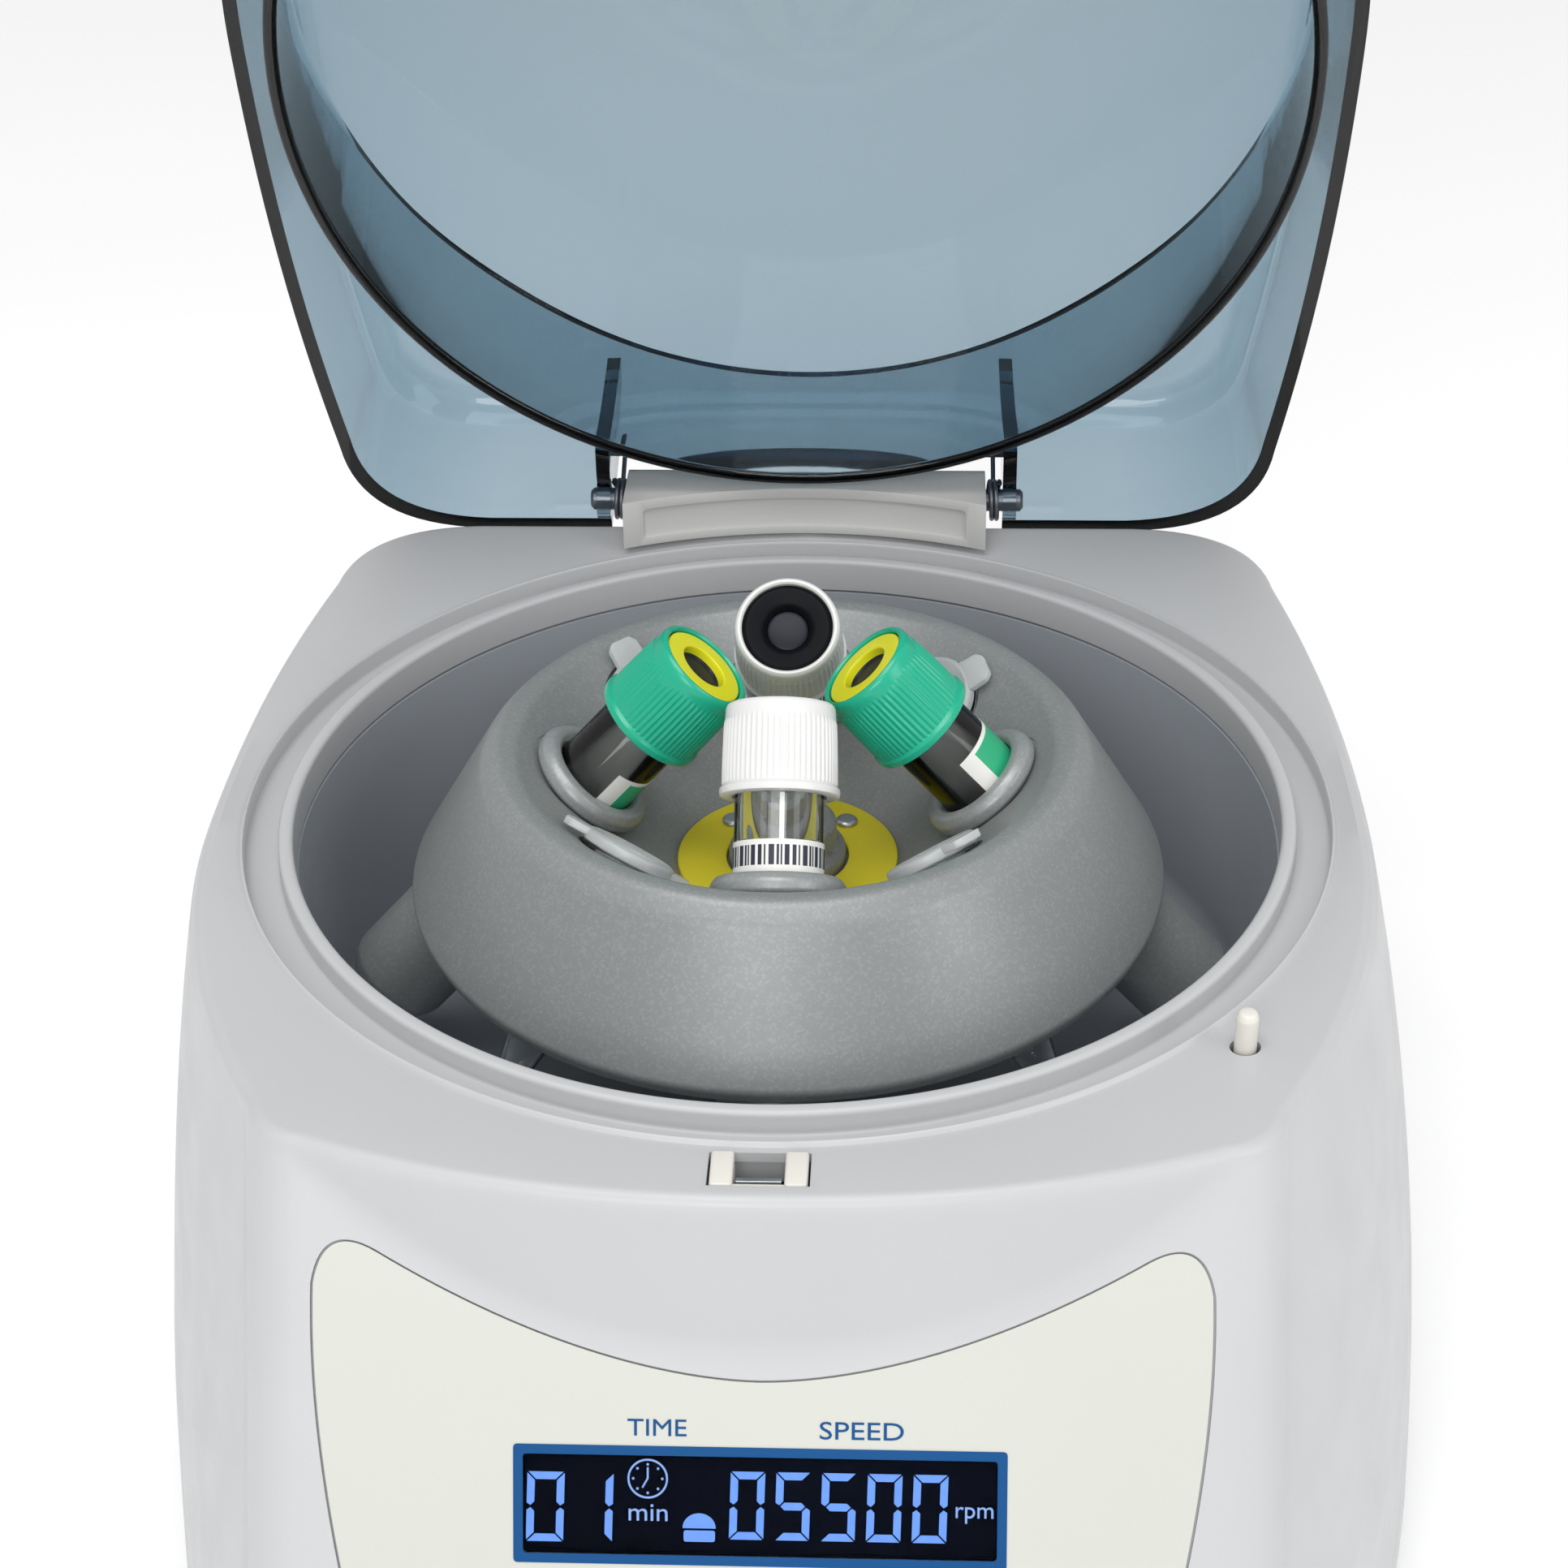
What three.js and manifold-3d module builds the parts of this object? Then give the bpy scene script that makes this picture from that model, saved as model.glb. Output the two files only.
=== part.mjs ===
// Small clinical bench centrifuge with its lid open: a flared plastic housing, a spinning bowl with a
// fixed-angle rotor, four capped sample tubes in sleeves, four snap-cap microtubes and a smoked lid.
// Millimetres, +Z up, the operator at -Y. Heights are counted from the deck, the flat top of the
// housing, and the rotor turns about x = y = 0. The whole machine is moved to its own frame at the end.
import * as THREE from 'three';
import { mergeVertices } from 'three/addons/utils/BufferGeometryUtils.js';
import Module from 'manifold-3d';

const wasm = await Module();
wasm.setup();

// ---------------------------------------------------------------- driving dimensions
const BODY_DEPTH = 119;          // deck down to the underside of the base plate
const FOOT_HEIGHT = 5;
const DECK_HALF_WIDTH = 87;
const BASE_HALF_WIDTH = 103;
const WALL = 2.6;                // housing wall
const DECK_EDGE_RADIUS = 1.8;
const EDGE_Y = -86.8;            // deck's front edge before its bow
const EDGE_SAGITTA = 3;          // how far it falls back at its corners
const BROW_REACH = 8.2;          // how far it bows out at the middle, as a brow over the panel
const BROW_LEAN = 0.04;
const PANEL_LEAN_DEG = 28;       // the front panel leans back this far from the vertical
const PANEL_Y = -83;             // where its plane meets the deck's height
const KNEE_Z = -80;              // below this the front stands upright
const REAR_Y = 87.5;
const REAR_FLARE = 12.5;

const OPENING_R = 82;            // round opening in the deck
const GROOVE_FLOOR_Z = -4;       // groove that takes the lid's skirt
const LIP_R = 76.9;
const LIP_TOP_Z = -0.3;
const BOWL_R = 74.6;
const BOWL_FLOOR_Z = -50;

const HINGE_Y = 90;
const HINGE_Z = 3.6;
const LID_OPEN_DEG = 74.5;
const PIN_R = 1.95;
const BLOCK_HALF_WIDTH = 31.5;
const EAR_X = 34.6;              // inner face of each lid ear
const EAR_THICKNESS = 2.4;
const LID_REAR_Y = 95;
const SKIRT_FOOT_R = 81;         // round skirt under the lid, outer radius at its foot
const SKIRT_ROOT_R = 84;
const SKIRT_THICKNESS = 2.2;
const SKIRT_FOOT_Z = -2.6;

const TUBE_TILT_DEG = 41.5;      // tube axes lean this far from the vertical
const CAP_TOP_R = 11.6;          // centre of a cap's top: distance from the rotor axis
const CAP_TOP_Z = 22.3;
const TUBE_R = 6.5;              // 13 mm tubes
const TUBE_END = 78;             // cap top to tube end, along the tube
const SLEEVE_R = 8.3;
const SLEEVE_SEAT = 28.8;        // cap top to the rotor's seat under the sleeve's rim
const SLEEVE_END = 80;
const MICRO_SEAT_R = 32.2;
const MICRO_SEAT_DEPTH = 1.4;    // the microtubes' rims sit this far under the dish
const MICRO_R = 5.3;
const ROTOR_RIM_Z = 10;
const DISH_TAN = Math.tan(THREE.MathUtils.degToRad(TUBE_TILT_DEG));
const DISH_FLOOR_Z = -12.6;

// on the panel: distances down its slope
const WINDOW_HALF_WIDTH = 31.3;  // display window
const WINDOW_TOP = -41.2;
const WINDOW_BOTTOM = -55.3;
const KEY_ROW = -70.5;
const KEY_XS = [-42, -22.5, 0, 22.5, 42];

const INLET = { x: -42, z: -92 };
const SWITCH = { x: 42, z: -92 };
const ROCKER_Y = 99.4;
const SENSE_PIN = { x: 64, y: -61 };
const FRAME_Y = 5.224;           // moves the middle of the machine's depth, lid open, to y = 0

const MACHINE_Z = BODY_DEPTH + FOOT_HEIGHT;
const rad = THREE.MathUtils.degToRad;

// ---------------------------------------------------------------- solids
function flipIfInsideOut(geometry) {
  const p = geometry.attributes.position;
  const index = geometry.index.array;
  const [a, b, c] = [new THREE.Vector3(), new THREE.Vector3(), new THREE.Vector3()];
  let volume = 0;
  for (let i = 0; i < index.length; i += 3) {
    a.fromBufferAttribute(p, index[i]);
    b.fromBufferAttribute(p, index[i + 1]);
    c.fromBufferAttribute(p, index[i + 2]);
    volume += a.dot(b.cross(c));
  }
  if (volume < 0) {
    for (let i = 0; i < index.length; i += 3) {
      [index[i + 1], index[i + 2]] = [index[i + 2], index[i + 1]];
    }
  }
  return geometry;
}

function closed(geometry) {
  const bare = new THREE.BufferGeometry();
  bare.setAttribute('position', geometry.attributes.position.clone());
  if (geometry.index) {
    bare.setIndex(geometry.index.clone());
  }
  return flipIfInsideOut(mergeVertices(bare, 1e-4));
}

function manifold(geometry) {
  const g = closed(geometry);
  const mesh = new wasm.Mesh({
    numProp: 3,
    vertProperties: new Float32Array(g.attributes.position.array),
    triVerts: new Uint32Array(g.index.array),
  });
  return new wasm.Manifold(mesh);
}

function fromManifold(solid) {
  const mesh = solid.getMesh();
  const g = new THREE.BufferGeometry();
  g.setAttribute('position', new THREE.BufferAttribute(mesh.vertProperties, 3));
  g.setIndex(new THREE.BufferAttribute(mesh.triVerts, 1));
  g.computeVertexNormals();
  return g;
}

const cut = (base, ...tools) => fromManifold(
  tools.reduce((solid, tool) => solid.subtract(manifold(tool)), manifold(base)));
const join = (...pieces) => fromManifold(
  pieces.slice(1).reduce((solid, piece) => solid.add(manifold(piece)), manifold(pieces[0])));
const common = (a, b) => fromManifold(manifold(a).intersect(manifold(b)));

// box between two corners
function box([x0, y0, z0], [x1, y1, z1]) {
  const g = new THREE.BoxGeometry(x1 - x0, y1 - y0, z1 - z0);
  return g.translate((x0 + x1) / 2, (y0 + y1) / 2, (z0 + z1) / 2);
}

// round bar between two heights
function drum(r, z0, z1, sides = 32, topR = r) {
  const g = new THREE.CylinderGeometry(topR, r, z1 - z0, sides);
  return g.rotateX(Math.PI / 2).translate(0, 0, (z0 + z1) / 2);
}

// the same piece on the other side of the centre line
const onSide = (g, side) => closed(g.scale(side, 1, 1));

const alongX = (g) => g.rotateY(Math.PI / 2);

// body turned about Z from a closed [radius, height] outline
function turned(profile, sides = 48) {
  const points = [...profile, profile[0]].map(([r, z]) => new THREE.Vector2(r, z));
  return closed(new THREE.LatheGeometry(points, sides).rotateX(Math.PI / 2));
}

// straight bar along Y with an outline in x and z
function prismY(outline, y0, y1) {
  const shape = new THREE.Shape(outline.map(([x, z]) => new THREE.Vector2(x, z)));
  const g = new THREE.ExtrudeGeometry(shape, { depth: y1 - y0, bevelEnabled: false });
  return g.rotateX(Math.PI / 2).translate(0, y1, 0);
}

// straight bar along X with an outline in y and z
function prismX(outline, x0, x1) {
  const shape = new THREE.Shape(outline.map(([y, z]) => new THREE.Vector2(y, z)));
  const g = new THREE.ExtrudeGeometry(shape, { depth: x1 - x0, bevelEnabled: false });
  return g.rotateX(Math.PI / 2).rotateZ(Math.PI / 2).translate(x0, 0, 0);
}

// skin over a stack of flat loops, capped at both ends
function loft(loops) {
  const count = loops[0].length;
  const positions = loops.flat(2);
  const index = [];
  for (let k = 0; k < loops.length - 1; k++) {
    for (let i = 0; i < count; i++) {
      const [a, b] = [k * count + i, k * count + (i + 1) % count];
      index.push(a, b, b + count, a, b + count, a + count);
    }
  }
  const capFaces = (loop, offset, reverse) => {
    const contour = loop.map(([x, y]) => new THREE.Vector2(x, y));
    for (const [a, b, c] of THREE.ShapeUtils.triangulateShape(contour, [])) {
      index.push(...(reverse ? [offset + a, offset + c, offset + b] : [offset + a, offset + b, offset + c]));
    }
  };
  capFaces(loops[0], 0, true);
  capFaces(loops.at(-1), (loops.length - 1) * count, false);
  const g = new THREE.BufferGeometry();
  g.setAttribute('position', new THREE.Float32BufferAttribute(positions, 3));
  g.setIndex(index);
  return g;
}

// points of a quadratic curve, its last point left out
function bend([x0, y0], [x1, y1], [x2, y2], steps) {
  return Array.from({ length: steps }, (_, i) => {
    const t = i / steps;
    const s = 1 - t;
    return [s * s * x0 + 2 * s * t * x1 + t * t * x2, s * s * y0 + 2 * s * t * y1 + t * t * y2];
  });
}

const mirrored = (half) => [...half, ...half.slice(1, -1).reverse().map(([x, y]) => [-x, y])];

// ---------------------------------------------------------------- the housing's form
const depthShare = (z) => Math.min(1, Math.max(0, -z / BODY_DEPTH));

// front surface: an upright brow under the deck's bowed edge, the leaning panel below it, then the foot
function frontY(x, z) {
  const bow = BROW_REACH * (1 - Math.min(1, Math.abs(x) / 60.5) ** 2.3);
  const brow = EDGE_Y + EDGE_SAGITTA * (x / 64) ** 2 - bow + BROW_LEAN * z;
  const panel = PANEL_Y + Math.tan(rad(PANEL_LEAN_DEG)) * Math.max(z, KNEE_Z);
  return Math.min(brow, panel);
}

// right half of the horizontal section, from the front centre round to the rear centre
function halfSection(z, rearY) {
  const t = depthShare(z);
  const widest = DECK_HALF_WIDTH + (BASE_HALF_WIDTH - DECK_HALF_WIDTH) * (1 - (1 - t) ** 1.8);
  const frontEdge = 60.5 + 2 * t;
  const cornerX = 66 + 2 * t;
  const cornerY = frontY(frontEdge, z) + 4.1;
  const fullness = 2.2 - 1.95 * t + 1.5 * t * t;
  const sideX = (y) => (y < -5
    ? widest - (widest - cornerX) * ((-5 - y) / (-5 - cornerY)) ** fullness
    : widest - 7 * ((y + 5) / 72.7) ** 2.1);
  const sideStart = cornerY + 4;
  const sideEnd = rearY - 21;
  const points = [];
  for (let i = 0; i < 8; i++) {
    const x = frontEdge * i / 8;
    points.push([x, frontY(x, z)]);
  }
  const face = [frontEdge, frontY(frontEdge, z)];
  const flank = [sideX(sideStart), sideStart];
  points.push(...bend(face, [cornerX + 0.6, frontY(cornerX, z) + 0.6], flank, 3));
  for (let i = 0; i < 5; i++) {
    const y = sideStart + (-5 - sideStart) * i / 5;
    points.push([sideX(y), y]);
  }
  for (let i = 0; i < 4; i++) {
    const y = -5 + (sideEnd + 5) * i / 4;
    points.push([sideX(y), y]);
  }
  points.push(...bend([sideX(sideEnd), sideEnd], [sideX(sideEnd) - 1.5, rearY - 0.8], [58, rearY], 4));
  points.push([58, rearY], [0, rearY]);
  return points;
}

function rearYAt(z) {
  const s = THREE.MathUtils.smoothstep(-z, 3, 45);
  return REAR_Y + REAR_FLARE * s;
}

function section(z, inset, rearY = rearYAt(z), level = z) {
  const scale = 1 - inset / 90;
  return mirrored(halfSection(z, rearY)).map(([x, y]) => [x * scale, y * scale, level]);
}

const bodyLoft = (inset, top, bottom) => {
  const levels = [top, -6, -10, -14, -18, -22, -26, -40, -60, KNEE_Z, -98, bottom];
  return loft(levels.map((z) => section(z, inset)));
};

// from the panel's own frame to the deck's: y goes into the machine, z up the slope
const PANEL_PLACE = new THREE.Matrix4().makeRotationX(-rad(PANEL_LEAN_DEG)).setPosition(0, PANEL_Y, 0);
const onPanel = (g) => g.applyMatrix4(PANEL_PLACE);

// closed outline of the panel's overlay, moved in by a margin
function panelOutline(margin) {
  const topEdge = (x) => -31.4 + 18.3 * (Math.abs(x) / 53) ** 1.8 - margin;
  const right = [];
  for (let i = 0; i < 7; i++) {
    right.push([50 * i / 7, topEdge(50 * i / 7)]);
  }
  right.push(...bend([50, topEdge(50)], [57.2 - margin, -10.9 - margin], [58.6 - margin, -19.5], 5));
  right.push(...bend([58.6 - margin, -19.5], [59.2 - margin, -36], [55.4 - margin, -56.4], 4));
  right.push(...bend([55.4 - margin, -56.4], [50.6 - margin, -83.6 + margin], [38, -84.8 + margin], 5));
  right.push([38, -84.8 + margin], [0, -85.6 + margin]);
  return mirrored(right);
}

const windowOutline = (margin) => {
  const x = WINDOW_HALF_WIDTH - margin;
  return [[-x, WINDOW_BOTTOM + margin], [x, WINDOW_BOTTOM + margin],
    [x, WINDOW_TOP - margin], [-x, WINDOW_TOP - margin]];
};

function keyOutline(x, grow) {
  const middle = x === 0;
  const [a, b] = middle ? [7.6 + grow, 5.6 + grow] : [6.2 + grow, 4.6 + grow];
  return Array.from({ length: 16 }, (_, i) => {
    const angle = i * Math.PI / 8;
    return [x + a * Math.cos(angle), KEY_ROW + b * Math.sin(angle)];
  });
}

// ---------------------------------------------------------------- fixed pieces
const deckStack = (inset, top) => loft([
  section(0, inset + DECK_EDGE_RADIUS, REAR_Y, top),
  section(0, inset + 0.5 * DECK_EDGE_RADIUS, REAR_Y, top - 0.25 * DECK_EDGE_RADIUS),
  section(0, inset, REAR_Y, top - DECK_EDGE_RADIUS),
  section(-3, inset),
]);

function housing() {
  const outer = join(deckStack(0, 0), bodyLoft(0, -2.4, -116));
  const hollow = bodyLoft(WALL, -WALL, -118);
  const groove = turned([
    [BOWL_R, -6.2], [OPENING_R + 1.6, -6.2], [OPENING_R + 1.6, -1], [OPENING_R, -1],
    [OPENING_R, GROOVE_FLOOR_Z], [LIP_R, GROOVE_FLOOR_Z], [LIP_R, LIP_TOP_Z - 0.7],
    [LIP_R - 0.7, LIP_TOP_Z], [BOWL_R + 0.7, LIP_TOP_Z], [BOWL_R, LIP_TOP_Z - 0.7],
  ], 48);
  const shell = cut(outer, hollow, drum(OPENING_R, -20, 2, 48));
  const panelCuts = [
    prismY(panelOutline(0), -3, 0.8),
    prismY(windowOutline(0.6), -3, 8),
    ...KEY_XS.map((x) => prismY(keyOutline(x, 0.5), -3, 8)),
  ];
  const vents = Array.from({ length: 7 }, (_, i) => {
    const x = -18 + 6 * i;
    return box([x - 1.4, 80, -66], [x + 1.4, 110, -42]);
  });
  return cut(
    join(shell, groove),
    ...panelCuts.map(onPanel),
    box([-6.6, -91.6, -7], [6.6, -84, 2]),
    drum(2.1, -10, 2, 16).translate(SENSE_PIN.x, SENSE_PIN.y, 0),
    box([INLET.x - 14, 90, INLET.z - 10.4], [INLET.x + 14, 110, INLET.z + 10.4]),
    box([SWITCH.x - 10.4, 90, SWITCH.z - 7.4], [SWITCH.x + 10.4, 110, SWITCH.z + 7.4]),
    ...vents);
}

const POSTS = [90, 210, 330].map((a) => [46 * Math.cos(rad(a)), 46 * Math.sin(rad(a))]);
const FEET = [[60, -104], [-60, -104], [72, 70], [-72, 70]];

function basePlate() {
  const plate = loft([section(-116, 1.5, rearYAt(-116), -119), section(-116, 0.6, rearYAt(-116), -116.3)]);
  const posts = POSTS.map(([x, y]) => drum(6, -116.6, -80, 16).translate(x, y, 0));
  const ridge = cut(drum(36, -116.6, -110, 24), drum(33.6, -118, -108, 24));
  return join(plate, ridge, ...posts);
}

const bowlLiner = () => turned([
  [6.5, -47.4], [14, -47.4], [22, BOWL_FLOOR_Z], [64, BOWL_FLOOR_Z], [72.2, -43.6], [74.4, -6.5],
  [77.2, -6.5], [77.2, -8.1], [76, -8.1], [73.8, -44.2], [64.4, -51.6], [21.6, -51.6], [13.4, -49],
  [6.5, -49],
], 36);

function hingeBlock() {
  const barrel = Array.from({ length: 7 }, (_, i) => {
    const angle = rad(90 - 90 * i / 6);
    return [HINGE_Y + 5.4 * Math.cos(angle), 3.3 + 5.4 * Math.sin(angle)];
  });
  const outline = [[76, 0.3], [76, 7.6], [77.4, 8.7], ...barrel, [HINGE_Y + 5.4, 0.3]];
  const bore = (side) => alongX(drum(PIN_R + 0.15, side > 0 ? 22 : -40, side > 0 ? 40 : -22, 16))
    .translate(0, HINGE_Y, HINGE_Z);
  return cut(prismX(outline, -BLOCK_HALF_WIDTH, BLOCK_HALF_WIDTH),
    drum(OPENING_R + 1.2, -2, 12, 72, OPENING_R + 2.4), bore(1), bore(-1));
}

const hingePin = (side) => onSide(alongX(drum(PIN_R, 22.4, EAR_X + EAR_THICKNESS + 1.2, 16)), side)
  .translate(0, HINGE_Y, HINGE_Z);

// U-shaped guide at the front of the deck, open to the back where the lid's catch comes down
const latchGuide = () => join(
  box([-6.3, -91.3, -5.6], [-3.3, -84.3, -0.5]),
  box([3.3, -91.3, -5.6], [6.3, -84.3, -0.5]),
  box([-6.3, -91.3, -5.6], [6.3, -90.2, -0.5]));

// bent plate whose nose slides back into the catch's window
const latchHook = () => join(
  prismX([
    [-89.8, -9.8], [-89.1, -10.5], [-78.5, -10.5], [-78.5, -8.4], [-89, -8.4], [-89, -1], [-89.8, -1],
  ], -2.9, 2.9),
  box([-1.6, -89.2, -4.9], [1.6, -87.4, -2.7]));

const latchSolenoid = () => join(
  box([-7, -83.2, -27], [7, -76.6, -12.6]),
  box([-1.6, -81.6, -12.9], [1.6, -78.4, -10.9]));

const sensePin = () => turned([
  [0, -14], [1.55, -14], [1.55, 4.2], [1.2, 5], [0.5, 5.3], [0, 5.3],
], 12).translate(SENSE_PIN.x, SENSE_PIN.y, 0);

const lidSwitch = () => box(
  [SENSE_PIN.x - 9, SENSE_PIN.y - 3.2, -27.6], [SENSE_PIN.x + 3.5, SENSE_PIN.y + 3.2, -17.6]);

// pieces drawn in the panel's own frame
const panelOverlay = () => cut(
  prismY(panelOutline(0.35), 0.15, 0.5),
  prismY(windowOutline(0), -1, 2),
  ...KEY_XS.map((x) => prismY(keyOutline(x, 0.5), -1, 2)));

const displayWindow = () => prismY(windowOutline(0.3), 0.15, 0.5);

const displayModule = () => join(
  box([-34, 3.8, WINDOW_BOTTOM - 3.2], [34, 7.2, WINDOW_TOP + 3.2]),
  box([1.2 - WINDOW_HALF_WIDTH, 0.8, WINDOW_BOTTOM + 1.2],
    [WINDOW_HALF_WIDTH - 1.2, 4.2, WINDOW_TOP - 1.2]));

const keyCap = (x) => join(
  prismY(keyOutline(x, 0), -1, 5.2),
  prismY(keyOutline(x, 1.4), 4, 5.6));

const controlBoard = () => join(
  box([-54, 9, -84], [54, 10.6, -38]),
  ...KEY_XS.map((x) => box([x - 3, 7.2, KEY_ROW - 3], [x + 3, 9.4, KEY_ROW + 3])));

// mains inlet socket, its cavity facing the rear
function powerInlet() {
  const wallY = rearYAt(-60);
  const cavity = prismY([
    [INLET.x - 11.8, INLET.z - 7.8], [INLET.x + 11.8, INLET.z - 7.8], [INLET.x + 11.8, INLET.z + 3.4],
    [INLET.x + 7.6, INLET.z + 7.8], [INLET.x - 7.6, INLET.z + 7.8], [INLET.x - 11.8, INLET.z + 3.4],
  ], wallY - 13, wallY + 6);
  const blade = (dx, dz) => box(
    [INLET.x + dx - 1, wallY - 14, INLET.z + dz - 2], [INLET.x + dx + 1, wallY - 2, INLET.z + dz + 2]);
  const shell = join(
    box([INLET.x - 13.6, wallY - 16, INLET.z - 10], [INLET.x + 13.6, wallY + 1, INLET.z + 10]),
    box([INLET.x - 15.6, wallY + 0.3, INLET.z - 12.4], [INLET.x + 15.6, wallY + 2.4, INLET.z + 12.4]));
  return join(cut(shell, cavity), blade(-7, -1.6), blade(7, -1.6), blade(0, 2.4));
}

function switchFrame() {
  const wallY = rearYAt(-60);
  const bezel = join(
    box([SWITCH.x - 10, wallY - 12, SWITCH.z - 7], [SWITCH.x + 10, wallY + 1, SWITCH.z + 7]),
    box([SWITCH.x - 12, wallY + 0.3, SWITCH.z - 9], [SWITCH.x + 12, wallY + 2.2, SWITCH.z + 9]));
  return cut(
    bezel, box([SWITCH.x - 8.6, wallY - 8, SWITCH.z - 5.6], [SWITCH.x + 8.6, wallY + 6, SWITCH.z + 5.6]));
}

// rocker paddle, shown switched off: its left end stands proud
function switchRocker() {
  const outline = [[-8, -3.4], [8, -3.4], [8, 2.6], [0, 1.2], [-8, 2.6]];
  const g = prismX(outline, -5.1, 5.1).rotateZ(-Math.PI / 2).rotateX(-Math.PI / 2);
  return g.rotateZ(rad(8)).translate(SWITCH.x, ROCKER_Y, SWITCH.z);
}

const foot = ([x, y]) => turned([
  [0, -119.3], [8.5, -119.3], [8.5, -121], [7, -MACHINE_Z], [0, -MACHINE_Z],
], 16).translate(x, y, 0);

const motor = () => turned([
  [0, -106], [8, -106], [9, -104], [28, -104], [30, -102], [30, -60], [28, -58.2], [12, -58.2],
  [12, -57.6], [3.4, -57.6], [3.4, -59.6], [0, -59.6],
], 24);

function motorPlate() {
  const arms = POSTS.map(([x, y]) => drum(9, -57, -55, 12).translate(x, y, 0));
  return cut(join(drum(48, -57, -55, 32), ...arms), drum(12.4, -60, -50, 24));
}

const damper = ([x, y]) => turned([
  [0, -79.7], [7.5, -79.7], [7.5, -74], [5.6, -72], [5.6, -65], [7.5, -63], [7.5, -57.3], [0, -57.3],
], 12).translate(x, y, 0);

// ---------------------------------------------------------------- the lid, drawn closed
function lidShell() {
  const level = (z, inset) => section(0, inset, LID_REAR_Y, z);
  const outer = loft([
    level(0.8, 0.4), level(24, 2), level(28.6, 4.2), level(31, 9.4), level(32.6, 30), level(33.4, 62)]);
  const inner = loft([
    level(-1, 2.7), level(22.6, 4.4), level(26.6, 7), level(28.4, 12), level(30, 32), level(30.8, 63)]);
  const skirt = turned([
    [SKIRT_FOOT_R - SKIRT_THICKNESS, SKIRT_FOOT_Z], [SKIRT_FOOT_R, SKIRT_FOOT_Z], [SKIRT_ROOT_R, 27.4],
    [SKIRT_ROOT_R, 30], [SKIRT_ROOT_R - SKIRT_THICKNESS - 1.4, 30], [SKIRT_ROOT_R - SKIRT_THICKNESS, 27.4],
  ], 48);
  const insideLid = join(skirt, ear(1), ear(-1));
  const pinHoles = alongX(drum(PIN_R + 0.2, -45, 45, 16)).translate(0, HINGE_Y, HINGE_Z);
  const shell = join(cut(outer, inner), common(insideLid, join(outer, drum(90, -3, 5, 32))));
  const blockWay = box([-EAR_X, 85.5, -6], [EAR_X, 110, 18.5]);
  return cut(shell, blockWay, pinHoles);
}

// ear that carries the hinge pin, from the skirt to the back wall
function ear(side) {
  const eye = Array.from({ length: 7 }, (_, i) => {
    const angle = rad(180 + 180 * i / 6);
    return [HINGE_Y + 3.5 * Math.cos(angle), HINGE_Z + 3.5 * Math.sin(angle)];
  });
  const outline = [[72, 29.6], [72, 5], [82, 4.6], ...eye, [LID_REAR_Y - 1.5, 29.6]];
  const x0 = side > 0 ? EAR_X : -EAR_X - EAR_THICKNESS;
  return prismX(outline, x0, x0 + EAR_THICKNESS);
}

// steel tongue that hangs from the front of the lid, with a window for the hook
const lidCatch = () => cut(
  join(box([-2.6, -86.9, -7.4], [2.6, -84.9, 26.2]), box([-7, -87.4, 24], [7, -84.7, 26.2])),
  box([-1.9, -90, -5.4], [1.9, -80, -2.2]));

// two close turns of wire on the hinge pin, with a leg that pushes on the lid
function torsionSpring(side) {
  const coil = cut(alongX(drum(3.9, 32, 34.3, 20)), alongX(drum(2.6, 30, 36, 20)));
  const leg = box([32.4, 2.1, 0], [33.6, 3.2, 19]);
  return onSide(join(coil, leg), side).rotateX(rad(12)).translate(0, HINGE_Y, HINGE_Z);
}

// ---------------------------------------------------------------- the rotor
// a tube's own frame: the top of its cap at the origin, its axis along Z
function tubePlace(azimuth) {
  const turn = new THREE.Matrix4().makeRotationZ(rad(azimuth));
  const lean = new THREE.Matrix4().makeRotationY(-rad(TUBE_TILT_DEG)).setPosition(CAP_TOP_R, 0, CAP_TOP_Z);
  return turn.multiply(lean);
}

// a microtube's own frame: the seat of its rim at the origin, its tab along X
function microPlace({ azimuth, tabTurn }) {
  const turn = new THREE.Matrix4().makeRotationZ(rad(azimuth));
  const lean = new THREE.Matrix4().makeRotationY(-rad(TUBE_TILT_DEG));
  const seat = new THREE.Matrix4().makeTranslation(0, 0, -MICRO_SEAT_DEPTH);
  lean.setPosition(MICRO_SEAT_R, 0, dishZ(MICRO_SEAT_R));
  return turn.multiply(lean).multiply(seat).multiply(new THREE.Matrix4().makeRotationZ(rad(tabTurn)));
}

// the dish stands square to the tubes, so its slope equals their tilt
function dishZ(r) {
  const seatR = CAP_TOP_R + SLEEVE_SEAT * Math.sin(rad(TUBE_TILT_DEG));
  const seatZ = CAP_TOP_Z - SLEEVE_SEAT * Math.cos(rad(TUBE_TILT_DEG));
  return seatZ + (r - seatR) * DISH_TAN;
}

const TUBE_AZIMUTHS = [270, 0, 90, 180];
const MICROS = [
  { azimuth: 225, tabTurn: -50 }, { azimuth: 315, tabTurn: 0 },
  { azimuth: 45, tabTurn: -32 }, { azimuth: 135, tabTurn: 0 },
];

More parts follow.
